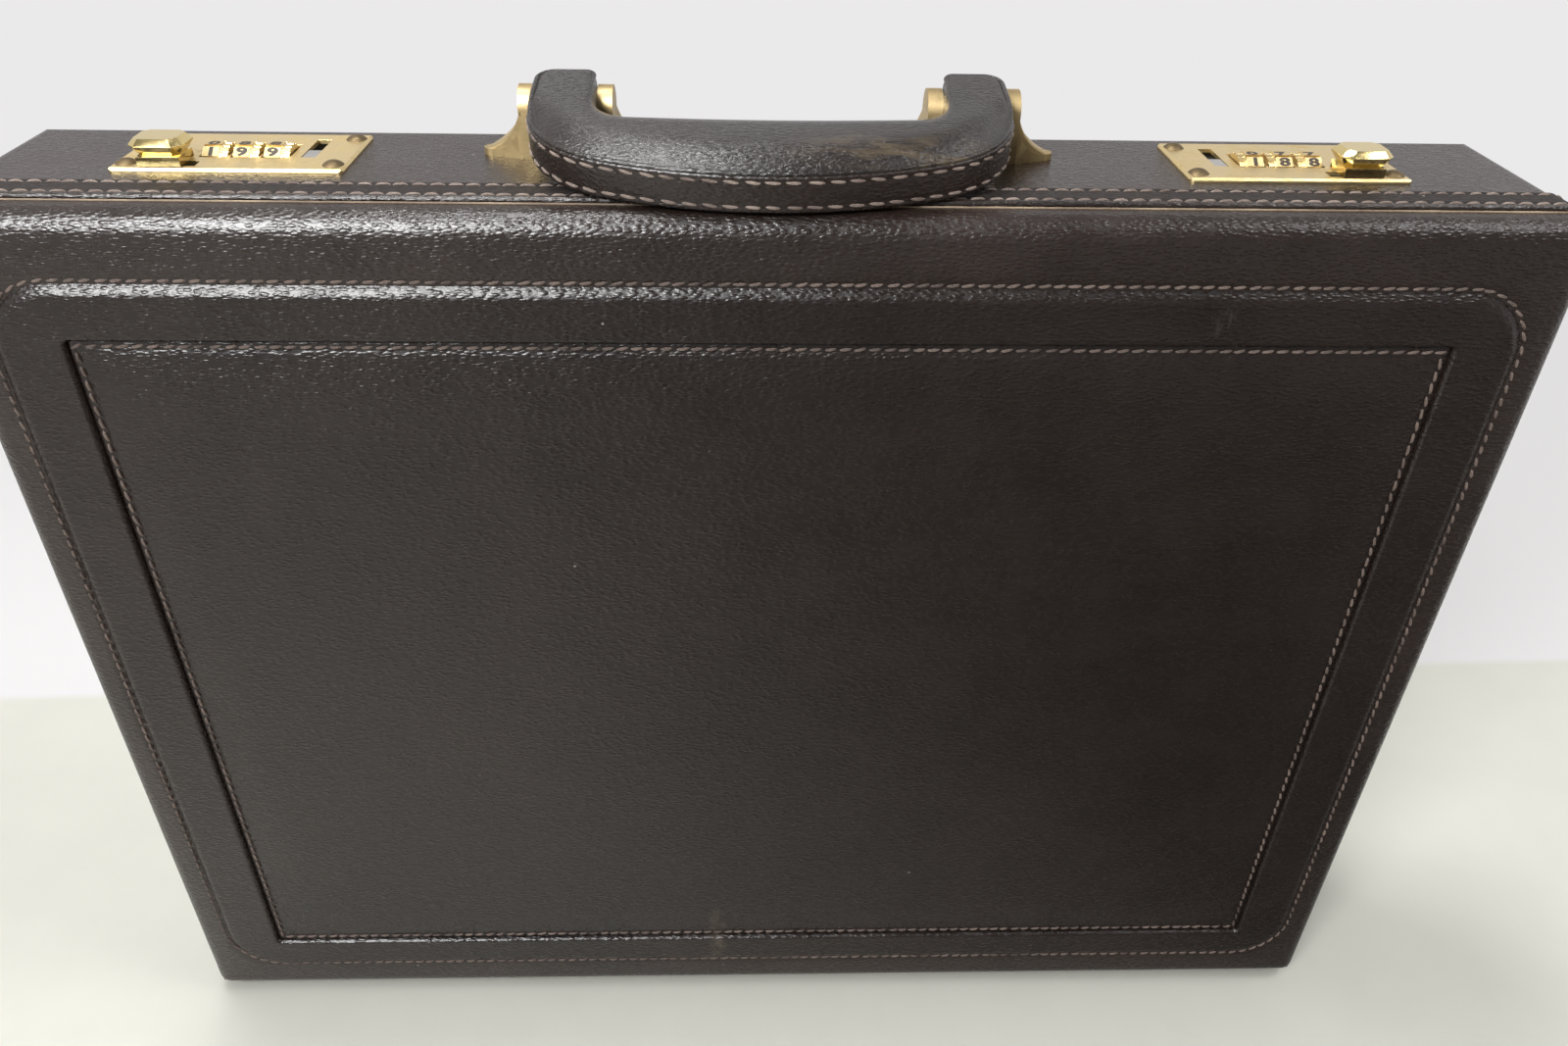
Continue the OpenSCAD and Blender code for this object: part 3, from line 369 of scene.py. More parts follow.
class Paint:
    """A material and the nodes that vary it, with patterns in object coordinates, in metres. The world is
    painted in the same way, by the direction looked in."""

    def __init__(self, name, world=False):
        self.material = (bpy.data.worlds if world else bpy.data.materials).new(name)
        self.material.use_nodes = True
        self.tree = self.material.node_tree
        self.shader = self.tree.nodes["Background" if world else "Principled BSDF"]
        self.place = self.node("ShaderNodeTexCoord", output="Generated" if world else "Object")

    def node(self, kind, inputs=(), output=0, **settings):
        """Add one node with its settings, and a value or another node's socket for each input"""
        new = self.tree.nodes.new(kind)
        for key, value in settings.items():
            setattr(new, key, value)
        pairs = inputs.items() if isinstance(inputs, dict) else enumerate(inputs)
        for key, value in pairs:
            if isinstance(value, Value):
                self.tree.links.new(value.socket, new.inputs[key])
            else:
                new.inputs[key].default_value = value
        return Value(self, new.outputs[output])

    def stretched(self, scale, turn=(0, 0, 0)):
        return self.node("ShaderNodeMapping", {"Vector": self.place, "Scale": scale, "Rotation": turn})

    def noise(self, scale, detail=3, roughness=0.55, vector=None, distortion=0):
        inputs = {"Vector": vector or self.place, "Scale": scale, "Detail": detail, "Roughness": roughness,
                  "Distortion": distortion}
        return self.node("ShaderNodeTexNoise", inputs)

    def cells(self, scale, vector=None, output="Distance", smooth=0.0):
        kind = "ShaderNodeTexVoronoi"
        inputs = {"Vector": vector or self.place, "Scale": scale}
        if smooth:
            return self.node(kind, {**inputs, "Smoothness": smooth}, output, feature="SMOOTH_F1")
        return self.node(kind, inputs, output)

    def fade(self, value, low, high, to_low=0, to_high=1):
        """Straight change from to_low at low to to_high at high, level outside"""
        return self.node("ShaderNodeMapRange", [value, low, high, to_low, to_high])

    def mix(self, factor, first, second):
        first = first if isinstance(first, Value) else (*first, 1)
        second = second if isinstance(second, Value) else (*second, 1)
        return self.node("ShaderNodeMix", {0: factor, 6: first, 7: second}, 2, data_type="RGBA")

    def near(self, x, z, half_x, half_z):
        """1 inside an oval about a spot on the front, falling to 0 at its edge"""
        dx = (self.place.part(0) - x * MM) * (1 / (half_x * MM))
        dz = (self.place.part(2) - z * MM) * (1 / (half_z * MM))
        return self.fade((dx * dx + dz * dz).power(0.5), 0.4, 1, 1, 0)

    def rays(self, *kinds):
        """1 for the named kinds of ray, else 0"""
        found = 0.0
        for kind in kinds:
            found = self.node("ShaderNodeLightPath", output=kind).at_least(found)
        return found

    def surface(self, shader):
        """Send a shader to the output node"""
        output = [node for node in self.tree.nodes if "Surface" in node.inputs][0]
        self.tree.links.new(shader.socket, output.inputs["Surface"])

    def finish(self, colour, roughness, height=None, relief=0.1, metallic=0.0, **fixed):
        """Link or set the shader's inputs. Relief is the height of the bumps in millimetres."""
        inputs = self.shader.inputs
        for key, value in (("Base Color", colour), ("Roughness", roughness), ("Metallic", metallic)):
            if isinstance(value, Value):
                self.tree.links.new(value.socket, inputs[key])
            else:
                inputs[key].default_value = (*value, 1) if key == "Base Color" else value
        for key, value in fixed.items():
            inputs[key.replace("_", " ")].default_value = value
        if height is not None:
            settings = {"Strength": 1.0, "Distance": relief * MM, "Height": height}
            self.tree.links.new(self.node("ShaderNodeBump", settings, "Normal").socket, inputs["Normal"])
        return self.material


def shade(colour, factor, more=0.0):
    """Colour made darker or lighter by a factor, with an even amount added"""
    return tuple(min(1, factor * level + more) for level in colour)


def pebbled_leather(name, dark, light, grain, relief, gloss, shine, marks=False):
    """Pressed leather: low rounded pebbles lying level, wrinkles, uneven dye, painted shade in the valleys
    between the pebbles, faint scuffs and dust. The front panel also has a rubbed patch and an old tan
    stain."""
    paint = Paint(name)
    lying = paint.stretched((0.45, 1, 1), (0, 0.12, 0))
    pebbles = paint.cells(1000 / grain, lying, smooth=0.2)
    wrinkles = paint.noise(1500 / grain, 2, 0.5, lying, 0.3)
    wide = paint.noise(9, 4, 0.6)
    cloudy = paint.noise(45, 4, 0.6)
    height = 0.9 * paint.fade(pebbles * pebbles, 0, 0.36, 1, 0) + 0.9 * wrinkles
    valley = paint.fade(pebbles, 0.4, 0.62)
    tone = paint.mix(paint.fade(wide * 0.6 + cloudy * 0.4, 0.38, 0.62), dark, light)
    # Painted shade: the valleys between the pebbles are darkened
    tone = paint.mix(valley * 0.3, tone, shade(dark, 0.45))
    specks = 70
    chosen = paint.fade(paint.cells(specks, output="Color").part(0), 0.66, 0.68)
    dust = paint.fade(paint.cells(specks), 0.02, 0.032, 1, 0) * chosen
    tone = paint.mix(dust * 0.7, tone, (0.42, 0.38, 0.34))
    scuffs = paint.noise(160, 5, 0.7, paint.stretched((0.25, 1, 1.6), (0, 0.5, 0)))
    rub = paint.fade(scuffs, 0.63, 0.8) * paint.fade(wide, 0.5, 0.65)
    tone = paint.mix(rub * 0.3, tone, shade(light, 2.6, 0.02))
    rough = paint.fade(cloudy, 0.3, 0.7, gloss - 0.02, gloss + 0.04) + 0.08 * valley
    if marks:
        strokes = paint.noise(700, 4, 0.7, paint.stretched((1.5, 1, 0.2)))
        worn = paint.near(*RUBBED) * paint.fade(strokes, 0.48, 0.72)
        tone = paint.mix(worn * 0.16, tone, (0.28, 0.25, 0.23))
        drips = paint.noise(260, 4, 0.7, paint.stretched((1, 1, 0.5)))
        stained = paint.near(*STAIN) * paint.fade(drips, 0.4, 0.6)
        tone = paint.mix(stained * 0.6, tone, (0.105, 0.075, 0.05))
    return paint.finish(tone, rough, height, relief, Specular_IOR_Level=shine)


def handled_leather(name, dark, light, gloss, worn_ridge=True):
    """Handled leather: low pebbles, fine slanting creases with painted shade in them, uneven polish. The
    grip also has tan wear along its ridge on the right-hand half."""
    paint = Paint(name)
    slanting = paint.stretched((0.4, 1.1, 1.1), (0, 0.2, 0.35))
    creases = paint.noise(1700, 3, 0.55, slanting, 0.3)
    pebbles = paint.cells(1100, slanting, smooth=0.2)
    wide = paint.noise(22, 3)
    height = 0.4 * paint.fade(pebbles * pebbles, 0, 0.36, 1, 0) + 1.3 * creases
    tone = paint.mix(paint.fade(wide, 0.35, 0.65), dark, light)
    # Painted shade: the low parts of the creases are darkened
    tone = paint.mix(paint.fade(creases, 0.5, 0.3) * 0.5, tone, shade(dark, 0.5))
    if worn_ridge:
        side, forwards = paint.place.part(0), paint.place.part(1)
        ridge = paint.fade(forwards, -0.0345, -0.031) * paint.fade(forwards, -0.026, -0.017, 1, 0)
        worn = ridge * paint.fade(side, 0.0, 0.03) * paint.fade(side, 0.055, 0.066, 1, 0)
        worn = worn * paint.fade(paint.noise(260, 4, 0.7, paint.stretched((0.3, 1, 1))), 0.42, 0.62)
        tone = paint.mix(worn * 0.6, tone, (0.12, 0.085, 0.045))
    rough = paint.fade(wide + 0.3 * creases, 0.4, 0.9, gloss - 0.03, gloss + 0.06)
    return paint.finish(tone, rough, height, 0.2, Specular_IOR_Level=0.6)


def thread(name, tone, soiled):
    """Twisted sewing thread, soiled unevenly"""
    paint = Paint(name)
    inputs = {"Vector": paint.place, "Scale": 900}
    twist = paint.node("ShaderNodeTexWave", inputs, bands_direction="DIAGONAL")
    dirt = paint.noise(60, 4, 0.65)
    colour = paint.mix(paint.fade(dirt, 0.4, 0.68), tone, soiled)
    return paint.finish(colour, 0.75, twist, 0.08, Specular_IOR_Level=0.25)


def brass(name, bright, tarnish, amount, rough, brushed=0.0):
    """Plated brass: slight hammering and brush lines, tarnish in clouds and in small pits"""
    paint = Paint(name)
    clouds = paint.noise(120, 5, 0.65)
    pits = paint.noise(1300, 3, 0.6)
    lines = paint.noise(900, 2, 0.5, paint.stretched((0.06, 1, 1)))
    mask = paint.fade(clouds + 0.25 * pits, 0.75 - 0.3 * amount, 0.95 - 0.2 * amount)
    colour = paint.mix(mask * (0.35 + 0.6 * amount), bright, tarnish)
    uneven = paint.fade(clouds, 0.3, 0.75, rough, rough + 0.16) + 0.1 * mask
    height = 0.5 * paint.noise(260, 3) + 0.25 * pits + brushed * lines
    return paint.finish(colour, uneven, height, 0.05, metallic=1.0)


def steel(name, tone, rough):
    """Rolled steel with fine lines and a few darker clouds"""
    paint = Paint(name)
    lines = paint.noise(1200, 2, 0.5, paint.stretched((0.05, 1, 1)))
    clouds = paint.noise(60, 4)
    colour = paint.mix(paint.fade(clouds, 0.4, 0.7), tone, shade(tone, 0.6))
    uneven = paint.fade(clouds, 0.3, 0.7, rough, rough + 0.15)
    return paint.finish(colour, uneven, lines, 0.02, metallic=1.0)


def stained_wood(name):
    """Stained softwood with grain along X"""
    paint = Paint(name)
    rings = paint.noise(160, 4, 0.6, paint.stretched((0.06, 1, 1)), 0.8)
    colour = paint.mix(paint.fade(rings, 0.35, 0.65), (0.17, 0.1, 0.055), (0.09, 0.05, 0.028))
    return paint.finish(colour, 0.65, rings, 0.1)


def suede_cloth(name, tone, nap):
    """Short napped lining cloth, brushed into lighter and darker streaks"""
    paint = Paint(name)
    fibres = paint.noise(1800, 3, 0.7)
    brushed = paint.noise(18, 4, 0.6, paint.stretched((0.6, 1, 1.4)))
    colour = paint.mix(paint.fade(brushed, 0.3, 0.7) * 0.5, tone, nap)
    colour = paint.mix(paint.fade(fibres, 0.35, 0.65) * 0.35, colour, shade(tone, 0.6))
    return paint.finish(colour, 0.92, fibres, 0.15, Specular_IOR_Level=0.15, Sheen_Weight=0.3)


def cut_edge(name):
    """Raw cut edge of the leather, pale and fibrous"""
    paint = Paint(name)
    fibres = paint.noise(1500, 4, 0.7)
    dye = paint.noise(40, 3)
    colour = paint.mix(paint.fade(dye, 0.35, 0.6), (0.42, 0.32, 0.21), (0.22, 0.155, 0.1))
    return paint.finish(colour, 0.7, fibres, 0.1, Specular_IOR_Level=0.3)


def ink(name):
    """Dark fill of the engraved digits"""
    paint = Paint(name)
    chips = paint.noise(1500, 3)
    colour = paint.mix(paint.fade(chips, 0.6, 0.72), (0.035, 0.022, 0.012), (0.3, 0.2, 0.08))
    return paint.finish(colour, 0.5, chips, 0.03)


COVER = pebbled_leather("cover_leather", (0.018, 0.0104, 0.008), (0.0315, 0.0188, 0.0146),
                        grain=0.95, relief=0.14, gloss=0.25, shine=0.5)
# The trim is the cover's leather in darker tones: painted shade on the band and the centre panel of the
# front
TRIM = pebbled_leather("trim_leather", (0.0128, 0.0071, 0.0053), (0.021, 0.0125, 0.0096),
                       grain=0.95, relief=0.14, gloss=0.25, shine=0.42, marks=True)
VALANCE = pebbled_leather("valance_leather", (0.013, 0.0082, 0.0065), (0.022, 0.014, 0.011),
                          grain=0.9, relief=0.2, gloss=0.5, shine=0.25)
GRIP = handled_leather("handle_leather", (0.0125, 0.0088, 0.0074), (0.023, 0.016, 0.0132), 0.22)
# The bead is the handle's leather in lighter tones: a painted highlight along the piping
BEAD = handled_leather("glossy_bead_leather", (0.02, 0.014, 0.012), (0.05, 0.036, 0.03), 0.2, False)
THREAD = thread("tan_thread", (0.38, 0.3, 0.255), (0.14, 0.1, 0.085))
# The lid's rows use the same thread in darker tones: painted shade of the front
DARK_THREAD = thread("thread_in_painted_shade", (0.22, 0.165, 0.14), (0.08, 0.057, 0.048))
GOLD = brass("pale_gold_brass", (0.7, 0.55, 0.28), (0.36, 0.26, 0.11), 0.45, 0.3, 0.2)
BUTTON_GOLD = brass("polished_button_brass", (0.74, 0.59, 0.27), (0.5, 0.36, 0.14), 0.1, 0.08)
ANTIQUE = brass("antique_bracket_brass", (0.38, 0.29, 0.15), (0.2, 0.14, 0.07), 0.5, 0.4, 0.5)
RIVET_BROWN = brass("browned_rivet_brass", (0.15, 0.11, 0.06), (0.07, 0.05, 0.03), 0.6, 0.42)
STEEL = steel("plain_steel", (0.46, 0.45, 0.43), 0.4)
WOOD = stained_wood("stained_wood")
LINING = suede_cloth("lining_cloth", (0.2, 0.14, 0.085), (0.29, 0.21, 0.13))
FOLIO = pebbled_leather("folio_leather", (0.13, 0.065, 0.032), (0.19, 0.1, 0.05),
                        grain=0.8, relief=0.1, gloss=0.45, shine=0.5)
RAW_EDGE = cut_edge("raw_leather_edge")
INK = ink("digit_ink")


# Leather of the case

def lid_leather():
    """Cover of the lid, as one profile carried round the case: from the rim forwards along the side, round
    the outer edge by a quarter circle, in over a slightly crowned margin, down a shallow valley at the
    band's foot, and back under the band at the thickness of the leather. Over the margin it runs from
    one outline to the other."""
    outer, outwards, run = rounded_frame(*CASE)
    edge, edge_outwards, _ = rounded_frame(*grown(CASE, -ROLL_R)[:3], 0)
    foot = rounded_frame(*BAND)[0]
    inside = rounded_frame(BAND[0] - 10, *grown(BAND, -8)[1:])[0]
    over_hinge = (outer[:, 1] < LOW + 0.01) & (np.abs(outer[:, 0]) < HINGE_HALF)
    knuckle_room = 2.9
    rim = np.where(over_hinge, HINGE_Y - knuckle_room, LID_RIM)
    width = np.linalg.norm(foot - edge, axis=1)
    uneven = 1 + 0.012 * ripple(run, 3)
    inner_side = outer - outwards * (LEATHER - 0.04)
    underside = FRONT + LEATHER - 0.05
    columns = [upright(inner_side, rim), upright(outer - outwards * 0.25, rim), upright(outer, rim - 0.3),
               upright(outer, np.minimum(rim, FRONT + ROLL_R + 0.8))]
    for angle in np.radians(np.linspace(0, 90, 14)):
        rolled = outer + (edge - outer) * (1 - np.cos(angle))
        columns.append(upright(rolled, FRONT + ROLL_R - ROLL_R * np.sin(angle)))
    for share in np.linspace(0, 1, 15)[1:]:
        crown = 0.18 * np.sin(np.pi * share) * uneven
        valley = 0.45 * bell((1 - share) * width, BAND_SEAM, 1.3)
        columns.append(upright(edge + (foot - edge) * share, FRONT - crown + valley))
    columns += [upright(inside, FRONT + 0.2), upright(inside, underside),
                upright(edge + 0.9 * edge_outwards, underside), upright(inner_side, FRONT + EDGE_R)]
    points, faces = skin(np.stack(columns, axis=1), True)
    make_piece("lid_leather", points, faces, COVER, "lid", "cover_leather", ["lid_cover"])


def rim_bead(name, sizes, depth, sides, radius, *finish):
    """Bead along an outline, left open over the hinge. Its radius is worked out from the distance run and
    the turn about its own middle."""
    points, normals, run = rounded_frame(*sizes)
    order = kept_order(~((points[:, 1] < LOW + 0.5) & (np.abs(points[:, 0]) < HINGE_HALF)))
    turn = np.linspace(0, 2 * np.pi, sides, endpoint=False)
    size = radius(run[order], turn)
    path, side = upright(points[order], depth), upright(normals[order], 0)
    make_piece(name, *tube(path, side, TO_BACK, size * np.cos(turn), size * np.sin(turn)), *finish)


def lid_lip():
    """Thin raw edge of the lid's leather, a small round bead along its rim"""
    def radius(run, turn):
        return 0.4 * (1 + 0.15 * ripple(run, 8, 9, 30))[:, None]

    rim_bead("lid_raw_edge", grown(CASE, -0.02), LID_RIM, 8, radius, RAW_EDGE, "lid", "cover_leather")


def piping():
    """Rolled bead round the mouth, slightly wrung and uneven"""
    def radius(run, turn):
        wrung = 1 - 0.05 * (1 + np.sin(2 * np.pi * run[:, None] / 1.7 + 2 * turn))
        return PIPE_R * wrung * (1 - 0.03 * (1 + ripple(run, 31)))[:, None]

    rim_bead("mouth_bead", grown(CASE, 0.2), PIPE_Y, 14, radius,
             BEAD, "base", "cover_leather", ["mouth_piping"])


def band_cushion():
    """Padded band round the lid: the height is a quarter sine wave up from the sewn valley at its outer
    outline, a quarter circle at its inner one and a low crown between, drawn in a little at each stitch"""
    outer, _, outer_run = rounded_frame(*BAND)
    inner, _, inner_run = rounded_frame(*PANEL)
    width = np.linalg.norm(outer - inner, axis=1)[:, None]
    share = eased(31)
    from_out = share * width
    from_in = (1 - share) * width
    drawn = 0.07 * swell(outer_run, LID_STITCH)[:, None] * bell(from_out, 0, 2.4)
    drawn = drawn + 0.05 * swell(inner_run, LID_STITCH)[:, None] * bell(from_in, 0, 2)
    ramp = np.sin(np.pi / 2 * np.minimum(from_out / 4.4, 1))
    height = (PROUD + 0.1) * ramp * quarter_circle(from_in, 1.5) - 0.4 * (1 - ramp)
    height = height + 0.22 * np.sin(np.pi * share) * (1 + 0.3 * ripple(outer_run, 5)[:, None])
    height = np.minimum(height * (1 - drawn), PROUD - 0.02)
    plan = outer[:, None, :] + (inner - outer)[:, None, :] * share[:, None]
    top = np.stack([plan[..., 0], FRONT - height + 0.05, plan[..., 1]], axis=-1)
    feet = [upright(edge, FRONT + 0.6)[:, None] for edge in (inner, outer)]
    points, faces = skin(np.concatenate([top, *feet], axis=1), True)
    piece = make_piece("band_cushion", points, faces, TRIM, "lid", "trim_leather", ["lid_band"])


def centre_cushion():
    """Padded centre panel: a level sewn rim, then a smooth rise over its run to a nearly level crown.
    Between two stitches the rim swells a little. A fan of faces closes the hidden back."""
    half_w, low, high, _ = PANEL
    across, up = np.meshgrid(spaced(-half_w, half_w), spaced(low, high), indexing="ij")
    side = half_w - np.abs(across)
    end = np.minimum(up - low, high - up)
    nearest = np.minimum(side, end)

    def rise(distance):
        share = np.clip((distance - 2.8) / 17, 0, 1)
        return 0.25 * np.clip(share / 0.06, 0, 1) + 0.75 * np.sin(np.pi / 2 * share) ** 0.9

    height = 1.45 * rise(side) * rise(end) * (1 + 0.06 * np.sin(np.pi * (up - low) / (high - low)))
    pull = 0.09 * swell(np.where(side < end, up, across), LID_STITCH) * bell(nearest, 3.2, 1.6)
    row = 0.12 * bell(nearest, PANEL_SEAM, 0.5)
    height = np.clip(height + 0.12 - pull - row, 0.02, PROUD - 0.05)
    height = np.where(nearest < 0.01, -0.3, height)
    points = np.stack([across, FRONT - height, up], axis=-1).reshape(-1, 3)
    faces = grid_faces(*across.shape).tolist()
    index = np.arange(across.size).reshape(across.shape)
    border = np.concatenate([index[:-1, 0], index[-1, :-1], index[:0:-1, -1], index[0, :0:-1]])
    points = np.concatenate([points, [[0, FRONT + 0.5, (low + high) / 2]]])
    faces += [[len(points) - 1, a, b] for a, b in zip(np.roll(border, -1).tolist(), border.tolist())]
    piece = make_piece("centre_cushion", points, faces, TRIM, "lid", "trim_leather", ["lid_centre_pad"])


def lid_stitching():
    """Outer row in the valley round the band, inner row on the rim of the centre panel"""
    rows = (("band_stitches", grown(BAND, BAND_SEAM), FRONT + 0.3, 11),
            ("panel_stitches", (*grown(PANEL, -PANEL_SEAM)[:3], 0.6), FRONT - 0.05, 12))
    for name, sizes, depth, seed in rows:
        path = upright(rounded_frame(*sizes)[0], depth)
        # Sewn with the darker copy of the thread, painted shade of the front
        stitch_row(name, path, -TO_BACK, LID_STITCH, DARK_THREAD, "lid", "trim_leather", 0.16, seed)


def valance():
    """Stitched band behind the piping: a strip with round edges and two sewn grooves. It is drawn in a
    little at each stitch."""
    start, end = VALANCE_Y
    points, normals, run = rounded_frame(*CASE)
    depth = start + (end - start) * np.linspace(0, 1, 27)
    from_edge = np.minimum(depth - start, end - depth)
    out = VALANCE_T * quarter_circle(from_edge, 0.5) - 0.35 * bell(from_edge, VALANCE_SEAM, 0.6)
    out = out - 0.05 * swell(run, VALANCE_STITCH)[:, None] * bell(from_edge, VALANCE_SEAM, 1)
    out = np.concatenate([out, np.full((len(run), 2), -0.4)], axis=1)
    depth = np.broadcast_to(np.concatenate([depth, [end, start]]), out.shape)
    plan = points[:, None, :] + normals[:, None, :] * out[..., None]
    strip = skin(np.stack([plan[..., 0], depth, plan[..., 1]], axis=-1), True)
    make_piece("valance_strip", *strip, VALANCE, "base", "trim_leather", ["valance_band"])
    points, normals, _ = rounded_frame(*grown(CASE, 0.6))
    for number, y in enumerate((start + VALANCE_SEAM, end - VALANCE_SEAM), 1):
        stitch_row("valance_stitches_%d" % number, upright(points, y), upright(normals, 0), VALANCE_STITCH,
                   THREAD, "base", "trim_leather", 0.08, 20 + number)


# Handle

def in_place(local):
    """Turn points x, r, t of the handle's own frame about the pin to where the handle rests"""
    x, r, t = local[..., 0], local[..., 1], local[..., 2]
    y = PIN_Y - r * np.cos(FOLD) - t * np.sin(FOLD)
    z = PIN_Z - r * np.sin(FOLD) + t * np.cos(FOLD)
    return np.stack([x, y, z], axis=-1)


def arc(x, r, radius, angle):
    """Points of a circle in the handle's plan"""
    return np.stack([x + radius * np.cos(angle), r + radius * np.sin(angle)], axis=1)


def front_arcs(inset, side_count, front_count):
    """Outer edge of the right half, from the side arc's start to the middle of the front arc"""
    tangent = np.arctan2(SIDE_C - FRONT_C, SIDE_X)
    side = arc(SIDE_X, SIDE_C, SIDE_R - inset, np.linspace(0, tangent, side_count + 1))
    front = arc(0, FRONT_C, FRONT_R - inset, np.linspace(tangent, np.pi / 2, front_count + 1)[1:])
    return np.concatenate([side, front])


def outer_edge(inset, start, arm_count):
    """Outer edge of the right half, from its arm at r = start to the middle of the front arc"""
    arm = np.linspace(start, SIDE_C, arm_count + 1)[:-1]
    arm = np.stack([np.full(arm_count, HALF_HANDLE - inset), arm], axis=1)
    return np.concatenate([arm, front_arcs(inset, 60, 70)])


def mirrored(half):
    """Right half followed by its mirror image, the middle point kept once"""
    left = half[::-1][1:] * np.array([-1] + [1] * (half.shape[1] - 1))
    return np.concatenate([half, left])


def lifted(plan, level):
    """Points of the plan with their level put after them"""
    level = np.broadcast_to(level, plan.shape[:-1])
    return np.concatenate([plan, level[..., None]], axis=-1)


def handle_pad():
    """Stuffed body of the handle. Sections run from its outer to its inner edge. Above, the height is the
    strip's edge plus a dome that rises as one minus the square of the distance left to its crown and sinks
    again behind it, times a quarter circle at the inner edge and at the arm's end. On the arms the dome
    turns into a nearly flat top. Below it is the same and flatter."""
    arm_count, side_count, front_count = 26, 40, 46
    inset, outer_r, inner_r = 0.6, 6, 3
    back = ((SIDE_C - ARM_END) * (np.arange(arm_count + 1) / arm_count) ** 1.7)[:-1]
    outer_x = HALF_HANDLE - inset - outer_r * (1 - quarter_circle(back, outer_r))
    outer = np.concatenate([np.stack([outer_x, ARM_END + back], axis=1),
                            front_arcs(inset, side_count, front_count)])
    inner_x = ARM_IN + (INNER_X - ARM_IN) * np.clip((back + ARM_END) / SHOULDER, 0, 1)
    inner_x = inner_x + inner_r * (1 - quarter_circle(back, inner_r))
    inner_back = ARM_END + back * (GRIP_IN - INNER_R - ARM_END) / (SIDE_C - ARM_END)
    fillet = arc(INNER_X - INNER_R, GRIP_IN - INNER_R, INNER_R, np.linspace(0, np.pi / 2, side_count + 1))
    level_x = (INNER_X - INNER_R) * np.linspace(1, 0, front_count + 1)[1:]
    inner = np.concatenate([np.stack([inner_x, inner_back], axis=1), fillet,
                            np.stack([level_x, np.full(front_count, GRIP_IN)], axis=1)])
    beyond = 99.0
    from_end = np.concatenate([back, np.full(len(outer) - arm_count, beyond)])
    from_end = np.concatenate([from_end, from_end[::-1][1:]])[:, None]
    outer, inner = mirrored(outer), mirrored(inner)
    width = np.linalg.norm(outer - inner, axis=1)[:, None]
    share = eased(30)
    from_out = share * width
    from_in = (1 - share) * width
    plan = outer[:, None, :] + (inner - outer)[:, None, :] * share[:, None]
    on_arm = smooth_step((27 - plan[..., 1]) / 16)
    bar = 1 - (1 - np.minimum(from_out / CROWN, 1)) ** 2
    bar = bar - 0.3 * np.clip((from_out - CROWN) / (REACH - GRIP_IN - CROWN), 0, 1) ** 2
    flat = 0.8 * quarter_circle(from_out, 2.4) + 0.08 * quarter_circle(from_out, 9)
    dome = (bar + (flat - bar) * on_arm) * quarter_circle(from_in, 8 - 6 * on_arm)
    dome = dome * quarter_circle(from_end, 1.6)
    above = lifted(plan, RIM_HALF + PAD_UP * dome)
    below = lifted(plan, -RIM_HALF - PAD_LOW * dome)[:, ::-1]
    wall = np.array([2.6, 0, -2.6])
    inner_wall, outer_wall = [lifted(edge[:, None, :].repeat(3, axis=1), levels)
                              for edge, levels in ((inner, wall), (outer, -wall))]
    local = np.concatenate([above, inner_wall, below, outer_wall], axis=1)
    piece = make_piece("handle_pad", *skin(in_place(local)), GRIP, "handle", "handle_leather",
                       ["handle_grip", "handle_core"])


def plan_normals(plan):
    """Normals on the right of the direction of travel, which is outwards here"""
    ahead = unit(np.gradient(plan, axis=0))
    return np.stack([ahead[:, 1], -ahead[:, 0]], axis=1)


def carried(name, plan, level, profile, material, replaces=()):
    """Carry a closed profile of outwards and upwards steps along a plan path of the handle at a level"""
    out, up = np.asarray(profile).T
    outwards = lifted(plan_normals(plan), 0)
    local, faces = tube(lifted(plan, level), outwards, TO_TOP, out[None, :], up[None, :])
    make_piece(name, in_place(local), faces, material, "handle", "handle_leather", replaces)


def handle_strip():
    """Stitched strip along the outer edge, flat with softened edges, and its two sewn rows"""
    plan = mirrored(outer_edge(0, SHOULDER, 8))
    lower = [(-1.5, -RIM_HALF), (-0.45, -RIM_HALF), (-0.12, -RIM_HALF + 0.15), (0, -RIM_HALF + 0.5),
             (-0.05, -RIM_HALF + 1.1), (-0.2, -STRIP_SEAM), (-0.04, -2.9), (0, -1.2)]
    upper = [(out, -up) for out, up in lower[::-1]]
    carried("handle_strip", plan, 0, lower + upper, COVER, ["handle_rim"])
    for number, level in enumerate((STRIP_SEAM, -STRIP_SEAM), 1):
        path = in_place(lifted(plan, level))
        rise = unit(in_place(lifted(plan + plan_normals(plan), level)) - path)
        stitch_row("handle_stitches_%d" % number, path - 0.22 * rise, rise, HANDLE_STITCH,
                   THREAD, "handle", "handle_leather", -0.1, 40 + number, False)


def handle_ridges():
    """Folded leather ridge round the top of each pad: along the outer edge, round the arm's end by two
    corner arcs, and up its inner side"""
    inset, end, inner_x = 1.3, ARM_END + 0.75, ARM_IN + 0.75
    near_r, far_r = 2.3, 5.3
    inside = np.linspace(SHOULDER + 1, end + near_r, 13)[:-1]
    inside = np.stack([np.full(len(inside), inner_x), inside], axis=1)
    near = arc(inner_x + near_r, end + near_r, near_r, np.linspace(np.pi, 1.5 * np.pi, 9))
    far = arc(HALF_HANDLE - inset - far_r, end + far_r, far_r, np.linspace(-0.5 * np.pi, 0, 13))
    plan = mirrored(np.concatenate([inside, near, far, outer_edge(inset, end + far_r, 11)[1:]]))
    raised = RIM_HALF + 0.15 + 2.9 * smooth_step((26 - plan[:, 1]) / 18)
    turn = np.linspace(0, 2 * np.pi, 10, endpoint=False)
    ring = np.stack([np.cos(turn), np.sin(turn)], axis=1)
    carried("handle_ridge_upper", plan, raised, 0.8 * ring, GRIP)
    carried("handle_ridge_lower", plan, -RIM_HALF, 0.6 * ring, GRIP)


# Fittings

